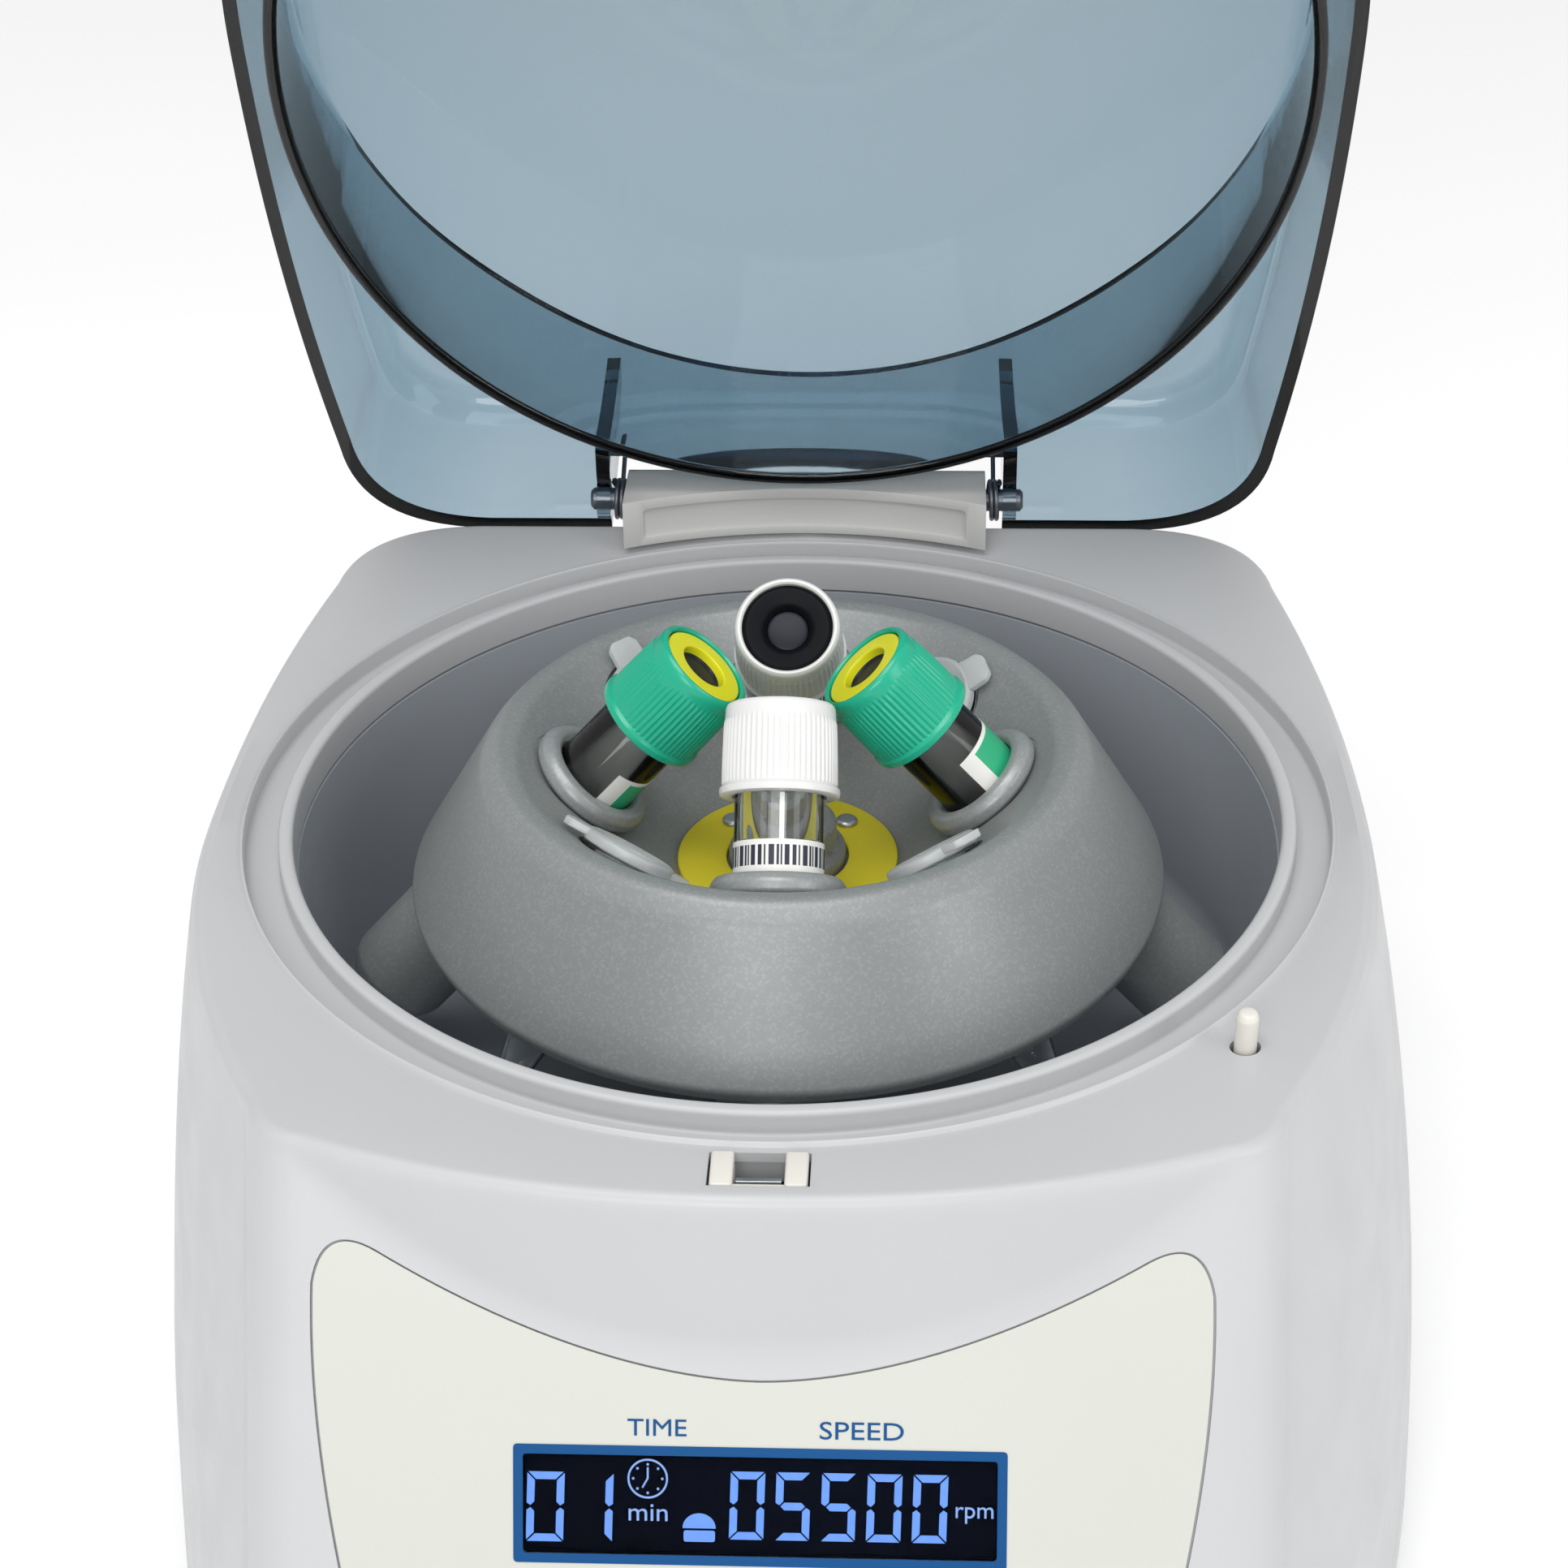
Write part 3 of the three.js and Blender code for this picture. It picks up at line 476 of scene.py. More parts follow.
def brushed(name, colour, roughness):
    """Metal with fine lines along one way."""
    mat, nodes, links, bsdf = new_material(name)
    mapping = nodes.new("ShaderNodeMapping")
    set_inputs(mapping, {"Scale": (1, 1, 30)})
    links.new(own_coordinates(nodes), mapping.inputs["Vector"])
    lines = noise(nodes, links, 260, 3, mapping.outputs["Vector"])
    dark = [c * 0.88 for c in colour]
    links.new(two_tone(nodes, links, lines, dark, colour), bsdf.inputs["Base Color"])
    links.new(ranged(nodes, links, lines, roughness - 0.08, roughness + 0.1), bsdf.inputs["Roughness"])
    set_inputs(bsdf, {"Metallic": 1.0})
    bumped(nodes, links, bsdf, lines, 0.2, 0.00002)
    return mat


def clear(name, colour, roughness, ior, absorb=None, density=0.0, grain=0.0):
    """Clear or tinted plastic or glass, with the tint taken up through its thickness."""
    mat, nodes, links, bsdf = new_material(name)
    set_inputs(bsdf, {"Base Color": (*colour, 1), "Transmission Weight": 1.0, "IOR": ior})
    links.new(ranged(nodes, links, noise(nodes, links, 40, 5), roughness, roughness + 0.03),
              bsdf.inputs["Roughness"])
    if grain:
        bumped(nodes, links, bsdf, noise(nodes, links, 60, 3), grain, 0.0002)
    if absorb:
        volume = nodes.new("ShaderNodeVolumeAbsorption")
        set_inputs(volume, {"Color": (*absorb, 1), "Density": density})
        links.new(volume.outputs["Volume"], nodes["Material Output"].inputs["Volume"])
    return mat


def glowing(name, colour, strength):
    mat, nodes, links, bsdf = new_material(name)
    set_inputs(bsdf, {"Base Color": (0.05, 0.09, 0.2, 1), "Roughness": 0.4, "Emission Strength": strength})
    glow = two_tone(nodes, links, noise(nodes, links, 900, 2), [c * 0.9 for c in colour], colour)
    links.new(glow, bsdf.inputs["Emission Color"])
    return mat


SHELL = moulded("shell_grey", (0.52, 0.525, 0.535), 0.40, 0.02, 1500)
BASE = moulded("base_grey", (0.52, 0.525, 0.53), 0.5, 0.02, 1200)
# the bowl's grey is darker and bluer than the shell's though the liner is the same grey: painted shade of the
# deep bowl
BOWL_SHADED_GREY = moulded("bowl_grey_painted_shade", (0.36, 0.385, 0.42), 0.34, 0.03, 1500)
BRACKET = moulded("bracket_grey", (0.56, 0.555, 0.54), 0.42, 0.02, 1500)
OVERLAY = moulded("overlay_cream", (0.58, 0.59, 0.54), 0.34, 0.008, 2600, 0.00002, 0.25, 0.015)
PRINT_BLUE = printed("print_blue", (0.002, 0.07, 0.225), 0.45, 0.03)
PRINT_DARK = printed("print_dark", (0.02, 0.025, 0.05), 0.4, 0.03)
PRINT_WHITE = printed("print_white", (0.84, 0.84, 0.80), 0.4, 0.01)
PRINT_GREEN = printed("print_green", (0.02, 0.42, 0.20), 0.4, 0.02)
ROTOR = flaked("rotor_grey", (0.28, 0.293, 0.293))
SLEEVE = flaked("sleeve_grey", (0.33, 0.345, 0.345), 0.36)
IVORY = moulded("ivory", (0.74, 0.72, 0.66), 0.35, 0.02, 1500)
BLACK = moulded("black_plastic", (0.016, 0.017, 0.019), 0.45, 0.1, 900, 0.00006, 0.5)
STOPPER_BLACK = moulded("stopper_black", (0.004, 0.0045, 0.007), 0.5, 0.15, 900)
DIMPLE_BLACK = moulded("dimple_black", (0.014, 0.017, 0.028), 0.35, 0.3, 500)
HINGE_STEEL = brushed("hinge_steel", (0.20, 0.21, 0.23), 0.4)
STOPPER_YELLOW = moulded("stopper_yellow", (0.78, 0.76, 0.015), 0.32, 0.03, 1200)
HUB_YELLOW = moulded("hub_yellow", (0.78, 0.66, 0.02), 0.45, 0.06, 900)
CAP_WHITE = moulded("cap_white", (0.77, 0.77, 0.76), 0.26, 0.01, 1200, 0.00003, 0.2)
CAP_GREEN = moulded("cap_green", (0.012, 0.42, 0.255), 0.24, 0.04, 1200, 0.00003, 0.2)
KEY_BLUE = moulded("key_blue", (0.012, 0.16, 0.42), 0.38, 0.03, 1600)
RUBBER = moulded("rubber", (0.02, 0.02, 0.021), 0.75, 0.15, 700, 0.00008, 0.6)
BOARD = moulded("board_green", (0.012, 0.10, 0.045), 0.3, 0.08, 300)
STEEL = brushed("steel", (0.60, 0.61, 0.62), 0.26)
ZINC = brushed("zinc", (0.52, 0.54, 0.56), 0.36)
SMOKE = clear("smoke_acrylic", (1, 1, 1), 0.01, 1.49, (0.26, 0.46, 0.56), 465.0, 0.05)
GLASS = clear("tube_glass", (0.97, 0.985, 0.98), 0.0, 1.47)
CLEAR = clear("clear_plastic", (0.93, 0.95, 0.96), 0.10, 1.45, None, 0, 0.1)
CAP_CLEAR = clear("cap_clear", (0.95, 0.97, 0.98), 0.22, 1.42, (0.80, 0.86, 0.90), 60.0, 0.15)
WINDOW = clear("window_clear", (0.97, 0.98, 1.0), 0.0, 1.05)
DISPLAY = moulded("display_black", (0.002, 0.003, 0.007), 0.6, 0.3, 300, 0.00001, 0.1)
SEGMENT = glowing("segment_blue", (0.11, 0.29, 0.88), 0.95)
PALE = glowing("segment_pale", (0.28, 0.45, 0.88), 0.85)

# how strongly the surfaces that are duller than plastic mirror their surroundings
SPECULAR_LEVELS = (
    (DISPLAY, 0.02), (STOPPER_BLACK, 0.12), (DIMPLE_BLACK, 0.2), (SMOKE, 0.3), (PRINT_BLUE, 0.2))
for material, level in SPECULAR_LEVELS:
    set_inputs(material.node_tree.nodes[SHADER], {"Specular IOR Level": level})
set_inputs(CAP_CLEAR.node_tree.nodes[SHADER], {"Transmission Weight": 0.62})


# ---- housing, bowl and base
def key_outline(x, grow, steps=48):
    a, b = (7.6, 5.6) if x == 0 else (6.2, 4.6)
    return ellipse(x, KEY_ROW, a + grow, b + grow, steps)


def panel_openings(margin, y0, y1):
    """Tool for the openings of the display and the keys."""
    outlines = [window_outline(margin)] + [key_outline(x, 0.5) for x in KEY_XS]
    return merged("openings", [on_panel(outline, y0, y1) for outline in outlines])


def housing():
    rings = []
    for k in range(7):
        a = k * math.pi / 12
        rings.append(section(0, DECK_EDGE * (1 - math.sin(a)), REAR_Y, -DECK_EDGE * (1 - math.cos(a))))
    levels = [-0.9 * k for k in range(3, 37)] + [-36, -40, -44, -48, -53, -58, -64, -70]
    levels += [-72 - k for k in range(17)] + [-93, -98, -104, -110, -114]
    rings += [section(z, 0) for z in levels]
    rings += [section(WALL_FOOT + 0.4, 0.15), section(WALL_FOOT, 0.5), section(WALL_FOOT, WALL)]
    rings += [section(z, WALL) for z in (-104, -91, -86, -82, -80, -78, -74, -64, -53, -44, -36)]
    rings += [section(-2 * k, WALL) for k in range(16, 1, -1)]
    rings += [section(-WALL, WALL + 1.4, REAR_Y)]
    ref = rings[0]
    inner = fillet([
        (OPENING_R + 1.6, -WALL), (OPENING_R + 1.6, -6.2), (BOWL_R, -6.2, 0.3), (BOWL_R, LIP_TOP, 0.9),
        (LIP_R, LIP_TOP, 0.9), (LIP_R, GROOVE_FLOOR, 0.6), (OPENING_R, GROOVE_FLOOR, 0.6),
        (OPENING_R, 0, 0.9)], 6)
    rings += [around(ref, r, z) for r, z in inner]
    body = loft("housing", rings, caps=False, closed_stack=True)
    cutters = [
        on_panel(panel_outline(0), -3, 0.8),
        box((-6.6, -91.6, -7), (6.6, -84, 2)),
        drum(2.1, -10, 2, 32, PIN_PLACE),
        prism_y("t", rounded_rect(28, 20.8, 2, INLET_X, INLET_Z), 90, 110),
        prism_y("t", rounded_rect(20.8, 14.8, 1.5, SWITCH_X, INLET_Z), 90, 110),
    ]
    cutters += [prism_y("t", rounded_rect(2.8, 24, 1.39, -18 + 6 * i, -54), 80, 110) for i in range(7)]
    boolean(body, merged("cutters", cutters))
    boolean(body, panel_openings(0.6, -3, 8))
    stand_in(body, "housing", "shell", SHELL, "base", 30)


def bowl():
    liner = turned("bowl", [
        (6.5, -47.4, 0.6), (14, -47.4, 1.5), (22, BOWL_FLOOR, 2), (66, BOWL_FLOOR, 9), (72.6, -42, 8),
        (74.4, -6.5), (77.2, -6.5), (77.2, -8.1), (76, -8.1), (74.3, -42.5, 8), (66.6, -51.6, 8),
        (21.6, -51.6), (13.4, -49), (6.5, -49)], 160, steps=8)
    # the liner takes the bowl grey, which has the bowl's shade painted into it
    stand_in(liner, "bowl_liner", "moulded", BOWL_SHADED_GREY, "base", 40)


housing()
bowl()


# ---- hinge bracket, pins, latch and pin
def on_hinge(x, turn=math.pi / 2):
    """Place on the hinge's axis, with its own Z turned to lie along the axis."""
    return Matrix.Translation((x, HINGE_Y, HINGE_Z)) @ Matrix.Rotation(turn, 4, "Y")


def hinge_bracket():
    barrel = [(HINGE_Y + 5.4 * math.cos(a), 3.3 + 5.4 * math.sin(a))
              for a in (math.pi / 2 * (1 - i / 14) for i in range(15))]
    outline = [(76, 0.3), (76, 7.4), (76.5, 8.2), (77.4, 8.65), (79, 8.7)] + barrel + [(HINGE_Y + 5.4, 0.3)]
    block = prism_x("bracket", outline, -BLOCK_HALF, BLOCK_HALF)
    tools = [drum(OPENING_R + 1.2, -2, 12, 160, top_r=OPENING_R + 2.4)]
    tools += [drum(PIN_R + 0.15, -9, 9, 32, on_hinge(side * 31)) for side, _ in SIDES]
    boolean(block, merged("tools", tools))
    # shallow panel in the hollow front face, following its curve
    inset = prism_y("inset", rounded_rect(56, 5.2, 0.8, 0, 4.3), 74, 90)
    boolean(inset, drum(OPENING_R + 1.75, -2, 12, 160, top_r=OPENING_R + 2.95), "INTERSECT")
    boolean(block, inset)
    beveled(block, 0.35, 2, 35)
    stand_in(block, "hinge_bracket", "moulded", BRACKET, "base")


def hinge_pin(side, name):
    end = EAR_X + EAR_THICK + 1.2
    profile = [(0, 22.4), (PIN_R - 0.4, 22.4), (PIN_R, 22.9), (PIN_R, end - 0.5), (PIN_R - 0.5, end),
               (0.9, end), (0.7, end - 0.3), (0, end - 0.3)]
    pin = turned("pin", profile, 40, False, on_hinge(0, side * math.pi / 2))
    stand_in(pin, f"hinge_pin_{name}", "turned", HINGE_STEEL, "base", 30)


def torsion_spring(side):
    """Wire spring round the pin: close turns, with one leg up against the lid."""
    wire, coil_r = 0.42, 3.3
    turns, length = 2.4, 2.0
    path = []
    for i in range(61):
        a = 2 * math.pi * turns * i / 60 + 0.35
        path.append(Vector((32.1 + length * i / 60, coil_r * math.cos(a), coil_r * math.sin(a))))
    tilt = Matrix.Rotation(math.radians(12), 3, "X")
    leg = [tilt @ Vector((33.1, 2.7, z)) for z in (3, 8, 13, 18.4)]
    obj = tube_along("spring", [Vector((side * p.x, p.y, p.z)) for p in path + leg], wire, 10)
    obj.data.transform(Matrix.Translation((0, HINGE_Y, HINGE_Z)))
    return obj


def tube_along(name, path, radius, sides):
    """Round wire swept along a path without twisting."""
    loops = []
    normal = None
    for i, p in enumerate(path):
        ahead = (path[min(i + 1, len(path) - 1)] - path[max(i - 1, 0)]).normalized()
        if normal is None:
            normal = ahead.orthogonal().normalized()
        normal = (normal - ahead * normal.dot(ahead)).normalized()
        across = ahead.cross(normal)
        loops.append([tuple(p + radius * (math.cos(a) * normal + math.sin(a) * across))
                      for a in (2 * math.pi * k / sides for k in range(sides))])
    return loft(name, loops)


def latch():
    blocks = [beveled(box((x - 1.5, -91.25, -5.6), (x + 1.5, -84.3, -0.35)), 0.45, 3) for x in (4.8, -4.8)]
    blocks.append(beveled(box((-3.5, -91.25, -5.6), (3.5, -90.3, -0.9)), 0.2, 2))
    guide = merged("guide", blocks)
    stand_in(guide, "latch_guide", "moulded", IVORY, "base", 40)
    hook = prism_x("hook", fillet([
        (-89.8, -10.5, 1.0), (-78.5, -10.5, 0.3), (-78.5, -8.4, 0.3), (-89, -8.4, 0.4), (-89, -1, 0.15),
        (-89.8, -1, 0.15)], 5), -2.9, 2.9)
    boolean(hook, beveled(box((-1.6, -89.4, -4.9), (1.6, -87.4, -2.7)), 0.25), "UNION")
    stand_in(hook, "latch_hook", "steel", ZINC, "latch_hook")


def sense_pin():
    pin = turned("sense", [(0, -14), (1.3, -14), (1.55, -13.6), (1.55, 4.2, 1.0), (1.2, 5.1, 0.6), (0, 5.3)],
                 48, False, PIN_PLACE)
    stand_in(pin, "lid_sense_pin", "moulded", IVORY, "lid_sense_pin", 50)


# ---- the lid, shaped closed and then opened
OPEN_LID = (Matrix.Translation((0, HINGE_Y, HINGE_Z)) @ Matrix.Rotation(-LID_OPEN, 4, "X")
            @ Matrix.Translation((0, -HINGE_Y, -HINGE_Z)))


def smooth_path(points, steps=5):
    """Catmull-Rom curve through a few points."""
    pts = [Vector(p) for p in points]
    out = []
    for i in range(len(pts) - 1):
        p0, p1, p2 = pts[max(i - 1, 0)], pts[i], pts[i + 1]
        p3 = pts[min(i + 2, len(pts) - 1)]
        for k in range(steps):
            t = k / steps
            p = 0.5 * (2 * p1 + (p2 - p0) * t + (2 * p0 - 5 * p1 + 4 * p2 - p3) * t * t
                       + (3 * p1 - p0 - 3 * p2 + p3) * t ** 3)
            out.append((p.x, p.y))
    return out + [tuple(points[-1])]


def lid_shell():
    outer = smooth_path([(0.4, 0.8), (2.0, 24.0)], 6)[:-1]
    outer += smooth_path([(2.0, 24.0), (4.2, 28.6), (9.4, 31.0), (30, 32.6), (62, 33.4), (86, 33.6)], 7)
    inner = smooth_path([(2.7, 0.8), (4.4, 22.6)], 6)[:-1]
    inner += smooth_path([(4.4, 22.6), (7.0, 26.6), (12, 28.4), (32, 30.0), (62, 30.8), (86, 31.0)], 7)
    whole = mirrored(half_section(0, LID_REAR_Y, 4.6, 19))
    shell = loft("lid", [inset_loop(whole, *p) for p in inner[::-1] + outer])
    skirt = turned("skirt", [
        (SKIRT_FOOT_R - SKIRT_THICK, SKIRT_FOOT_Z, 0.8), (SKIRT_FOOT_R, SKIRT_FOOT_Z, 0.8),
        (SKIRT_ROOT_R, 27.4), (SKIRT_ROOT_R, 30.2), (SKIRT_ROOT_R - SKIRT_THICK - 0.4, 30.2),
        (SKIRT_ROOT_R - SKIRT_THICK, 29.0, 0.5)], 160)
    eye = [(HINGE_Y + 3.5 * math.cos(a), HINGE_Z + 3.5 * math.sin(a))
           for a in (math.pi * (1 + i / 14) for i in range(15))]
    ear = [(80, 29.6), (80, 5.2), (83, 4.4)] + eye + [(LID_REAR_Y - 1.5, 29.6)]
    for x0 in (EAR_X, -EAR_X - EAR_THICK):
        boolean(skirt, prism_x("ear", ear, x0, x0 + EAR_THICK), "UNION")
    # nothing of the skirt or the ears may stand out past the outer wall
    limits = ((1.5, -4), (1.5, 24), (4, 29), (12, 31), (60, 32.6))
    boolean(skirt, loft("limit", [inset_loop(whole, *p) for p in limits]), "INTERSECT")
    boolean(shell, skirt, "UNION")
    boolean(shell, box((-EAR_X, 85.5, -6), (EAR_X, 110, 18.5)))
    boolean(shell, drum(PIN_R + 0.2, -45, 45, 32, on_hinge(0)))
    shell.data.transform(OPEN_LID)
    stand_in(shell, "lid", "moulded", SMOKE, "lid", 28)


def lid_fittings():
    plate = beveled(box((-2.6, -86.9, -7.4), (2.6, -84.9, 24.4)), 0.3, 2)
    boolean(plate, box((-1.9, -90, -5.4), (1.9, -80, -2.2)))
    head = beveled(box((-7, -87.4, 24), (7, -84.7, 26.2)), 0.4, 2)
    boolean(plate, head, "UNION")
    plate.data.transform(OPEN_LID)
    stand_in(plate, "lid_catch", "steel", ZINC, "lid")
    for side, name in SIDES:
        spring = torsion_spring(side)
        spring.data.transform(OPEN_LID)
        stand_in(spring, f"lid_spring_{name}", "wire", HINGE_STEEL, "lid", 60)


# ---- the rotor and its load
def tube_matrix(azimuth):
    """A tube's own frame: the top of its cap at the origin, its axis along Z."""
    return (Matrix.Rotation(math.radians(azimuth), 4, "Z") @ Matrix.Translation((CAP_TOP_R, 0, CAP_TOP_Z))
            @ Matrix.Rotation(-TILT, 4, "Y"))


def dish_z(r):
    seat_r = CAP_TOP_R + SLEEVE_SEAT * math.sin(TILT)
    seat_z = CAP_TOP_Z - SLEEVE_SEAT * math.cos(TILT)
    return seat_z + (r - seat_r) * math.tan(TILT)


def micro_matrix(azimuth, tab_turn):
    """A microtube's own frame: the seat of its rim at the origin, its thumb tab along X."""
    return (Matrix.Rotation(math.radians(azimuth), 4, "Z")
            @ Matrix.Translation((MICRO_SEAT_R, 0, dish_z(MICRO_SEAT_R))) @ Matrix.Rotation(-TILT, 4, "Y")
            @ Matrix.Translation((0, 0, -MICRO_SEAT_DEPTH))
            @ Matrix.Rotation(math.radians(tab_turn), 4, "Z"))


def rotor():
    body = turned("rotor", [
        (4.1, -30, 0.5), (10, -30, 1), (12, -18.4, 2), (41, 5.4, 2.5), (43.4, 4.8, 2), (54.6, -12.4, 1.5),
        (55, -14.8, 0.8), (57, -14.9, 1.2), (57.9, -12.6, 1.6), (46, 7.4, 6), (43.2, ROTOR_RIM_Z, 3.5),
        (40.6, ROTOR_RIM_Z - 0.4, 2.4), (38.8, dish_z(38.8), 3), (17, DISH_FLOOR, 4),
        (4.1, DISH_FLOOR, 0.3)], 192, steps=7)
    tools = []
    for a in TUBE_AZIMUTHS:
        tools.append(turned("hole", [
            (0, -95), (SLEEVE_R + 0.35, -95), (SLEEVE_R + 0.35, -SLEEVE_SEAT - 0.01),
            (10.2, -SLEEVE_SEAT), (10.2, -12), (0, -12)], 64, False, tube_matrix(a)))
    for spot in MICROS:
        tools.append(turned("hole", [(0, -50), (5.6, -50), (5.6, -0.01), (7.6, 0), (7.6, 9), (0, 9)],
                            48, False, micro_matrix(*spot)))
    boolean(body, merged("tools", tools))
    stand_in(body, "rotor", "moulded", ROTOR, "rotor", 30)


def hub():
    disc = turned("disc", [(9.4, DISH_FLOOR + 0.3), (17, DISH_FLOOR + 0.3), (17, DISH_FLOOR + 1.2, 0.3),
                           (9.4, DISH_FLOOR + 1.2, 0.3)], 96)
    stand_in(disc, "hub_disc", "moulded", HUB_YELLOW, "rotor")
    nut = turned("nut", [
        (4.1, DISH_FLOOR + 0.3), (9, DISH_FLOOR + 0.3, 0.3), (9, -10, 0.8), (7.6, -8.6, 0.8),
        (7.6, -5.4, 0.8), (6.6, -4.4, 0.5), (0, -4.4)], 72, False)
    slots = []
    for k in range(12):
        turn = Matrix.Rotation(math.radians(30 * k), 4, "Z")
        slots.append(drum(0.7, -9, -3, 16, turn @ Matrix.Translation((8, 0, 0))))
    boolean(nut, merged("slots", slots))
    stand_in(nut, "rotor_nut", "knurled", ROTOR, "rotor")
    screws = []
    for k in range(4):
        turn = Matrix.Rotation(math.radians(45 + 90 * k), 4, "Z")
        place = turn @ Matrix.Translation((12.6, 0, DISH_FLOOR + 1.2))
        head = turned("head", [(0, 0.02), (1.7, 0.02), (1.7, 0.5, 0.3), (1.3, 0.85, 0.3), (0, 0.85)],
                      32, False, place)
        cross = merged("cross", [box((-1.0, -0.2, 0.4), (1.0, 0.2, 1.2), place),
                                 box((-0.2, -1.0, 0.45), (0.2, 1.0, 1.25), place)])
        boolean(head, cross)
        screws.append(head)
    finish_piece(merged("screws", screws), "hub_screws", ZINC, "rotor", ())


def sleeve(i, place):
    body = turned("sleeve", [
        (0, -SLEEVE_END), (SLEEVE_R - 1.5, -SLEEVE_END, 3.5), (SLEEVE_R, -SLEEVE_END + 4, 3),
        (SLEEVE_R, -SLEEVE_SEAT + 0.3), (9.2, -SLEEVE_SEAT + 0.3, 0.3), (9.85, -SLEEVE_SEAT + 0.9, 0.9),
        (9.85, -SLEEVE_SEAT + 2.4, 1.4), (9.0, -SLEEVE_SEAT + 3.6, 1.2), (7.6, -SLEEVE_SEAT + 3.7, 1.0),
        (6.8, -SLEEVE_SEAT + 2.9, 0.8), (6.8, -TUBE_END + 6, 4), (4.5, -TUBE_END + 0.6, 3),
        (0, -SLEEVE_END + 1.6)], 72, False, place)
    stand_in(body, f"tube_sleeve_{i}", "moulded", SLEEVE, "rotor", 40)


def glass_tube(i, place):
    def arc(r, start, end):
        return [(r * math.sin(a), -TUBE_END + 1 + TUBE_R - r * math.cos(a))
                for a in (math.radians(start + (end - start) * k / 12) for k in range(13))]
    outline = arc(TUBE_R, 0, 90) + [(TUBE_R, -6.2), (TUBE_R - 0.3, -5.8), (5.8, -5.8), (5.5, -6.1)]
    outline += arc(5.5, 90, 0)
    tube = turned("tube", outline, 72, False, place)
    stand_in(tube, f"sample_tube_{i}", "glass", GLASS, "rotor", 40)


def strip(r, z0, z1, start, end, thickness, place, steps):
    """Thin skin wrapped part of the way round a tube."""
    loops = []
    for k in range(steps + 1):
        a = math.radians(start + (end - start) * k / steps)
        loops.append([((r + d) * math.cos(a), (r + d) * math.sin(a), z)
                      for d, z in ((0, z0), (thickness, z0), (thickness, z1), (0, z1))])
    return loft("strip", loops, matrix=place)


def band(name, r, z0, z1, start, end, thickness, place, material, steps=40):
    skin = strip(r, z0, z1, start, end, thickness, place, steps)
    finish_piece(skin, name, material, "rotor", ())


BAR_PATTERN = ((5, 3), (2, 4), (7, 3), (3, 2), (2, 3), (6, 4))    # degrees of bar, then of gap
RIB_DIPS = (0.2, 0.2, 0.1, 0, 0, 0.1)    # a cap's side from one rib to the next, mm below the ribs


def labels(i, place):
    """Plain labels without lettering: a coloured wrap with a white edge strip, or white with dark bars."""
    r, foot = TUBE_R + 0.02, -56.0
    if i % 2 == 0:
        start, top = (288, -19.6) if i == 2 else (94, -20.2)
        band(f"tube_label_{i}", r, foot, top, start, start + 236, 0.08, place, PRINT_WHITE)
        band(f"tube_label_field_{i}", r + 0.08, foot + 2, top - 0.7, start + 24, start + 232, 0.03, place,
             PRINT_GREEN)
        return
    top = -20.3
    band(f"tube_label_{i}", r, foot, top, -162, 162, 0.08, place, PRINT_WHITE)
    band(f"tube_label_edge_{i}", r, top, -13.6, 3, 9, 0.06, place, PRINT_WHITE, 4)
    bars = []
    angle = -156
    for width, gap in BAR_PATTERN * 7:
        bars.append(strip(r + 0.08, -24.0, top - 0.8, angle, angle + width, 0.03, place, 3))
        angle += width + gap
    finish_piece(merged("bars", bars), f"tube_label_bars_{i}", PRINT_DARK, "rotor", ())


def cap(i, place, material):
    """Screw cap: a smooth collar with a rounded rim, fine ribs down the side and a flared foot."""
    sides = 60 * len(RIB_DIPS)
    profile = [(6.95, -0.3), (7.2, 0.0), (7.5, 0.0), (7.8, -0.25), (7.98, -0.7), (8.02, -1.4), (8.04, -1.9),
               (8.06, -2.3), (8.2, -2.8), (8.25, -4), (8.36, -8), (8.42, -11.6), (8.30, -11.9), (8.5, -12.15),
               (8.74, -12.4), (8.77, -12.9), (8.68, -13.35), (8.4, -13.5), (6.9, -13.5), (6.9, -6.0)]
    loops = []
    for r, z in profile:
        ribbed = -11.7 < z < -2.5 and r > 8
        loop = []
        for k in range(sides):
            a = 2 * math.pi * k / sides
            dip = RIB_DIPS[k % len(RIB_DIPS)] if ribbed else 0
            loop.append(((r - dip) * math.cos(a), (r - dip) * math.sin(a), z))
        loops.append(loop)
    body = loft("cap", loops, caps=False, closed_stack=True, matrix=place)
    stand_in(body, f"tube_cap_{i}", "ribbed", material, "rotor")


def stopper(i, place):
    if i % 2 == 0:
        ring = turned("ring", [(3.8, -5.4), (5.2, -5.4), (6.75, -4.5), (6.75, -0.35, 0.4), (3.9, -0.35, 0.25),
                               (3.8, -1.0)], 72, matrix=place)
        core = turned("core", [(0, -2.0), (3.4, -1.9), (3.7, -1.6), (3.7, -13), (0, -13)], 48, False, place)
        stand_in(ring, f"stopper_{i}", "ring", STOPPER_YELLOW, "rotor")
        finish_piece(core, f"stopper_{i}_core", DIMPLE_BLACK, "rotor", ())
        return
    plug = turned("plug", [
        (3.2, -2.0, 0.2), (3.9, -1.0, 1.2), (6.2, -0.5, 0.6), (6.8, -0.8), (6.75, -5.5), (5.2, -5.5),
        (5.2, -13), (3.2, -13)], 72, matrix=place)
    dimple = turned("dimple", [(0, -1.9), (2.6, -1.95), (3.15, -2.1, 0.2), (3.15, -13), (0, -13)],
                    48, False, place)
    finish_piece(dimple, f"stopper_{i}_dimple", DIMPLE_BLACK, "rotor", ())
    stand_in(plug, f"stopper_{i}", "plug", STOPPER_BLACK, "rotor", 30)


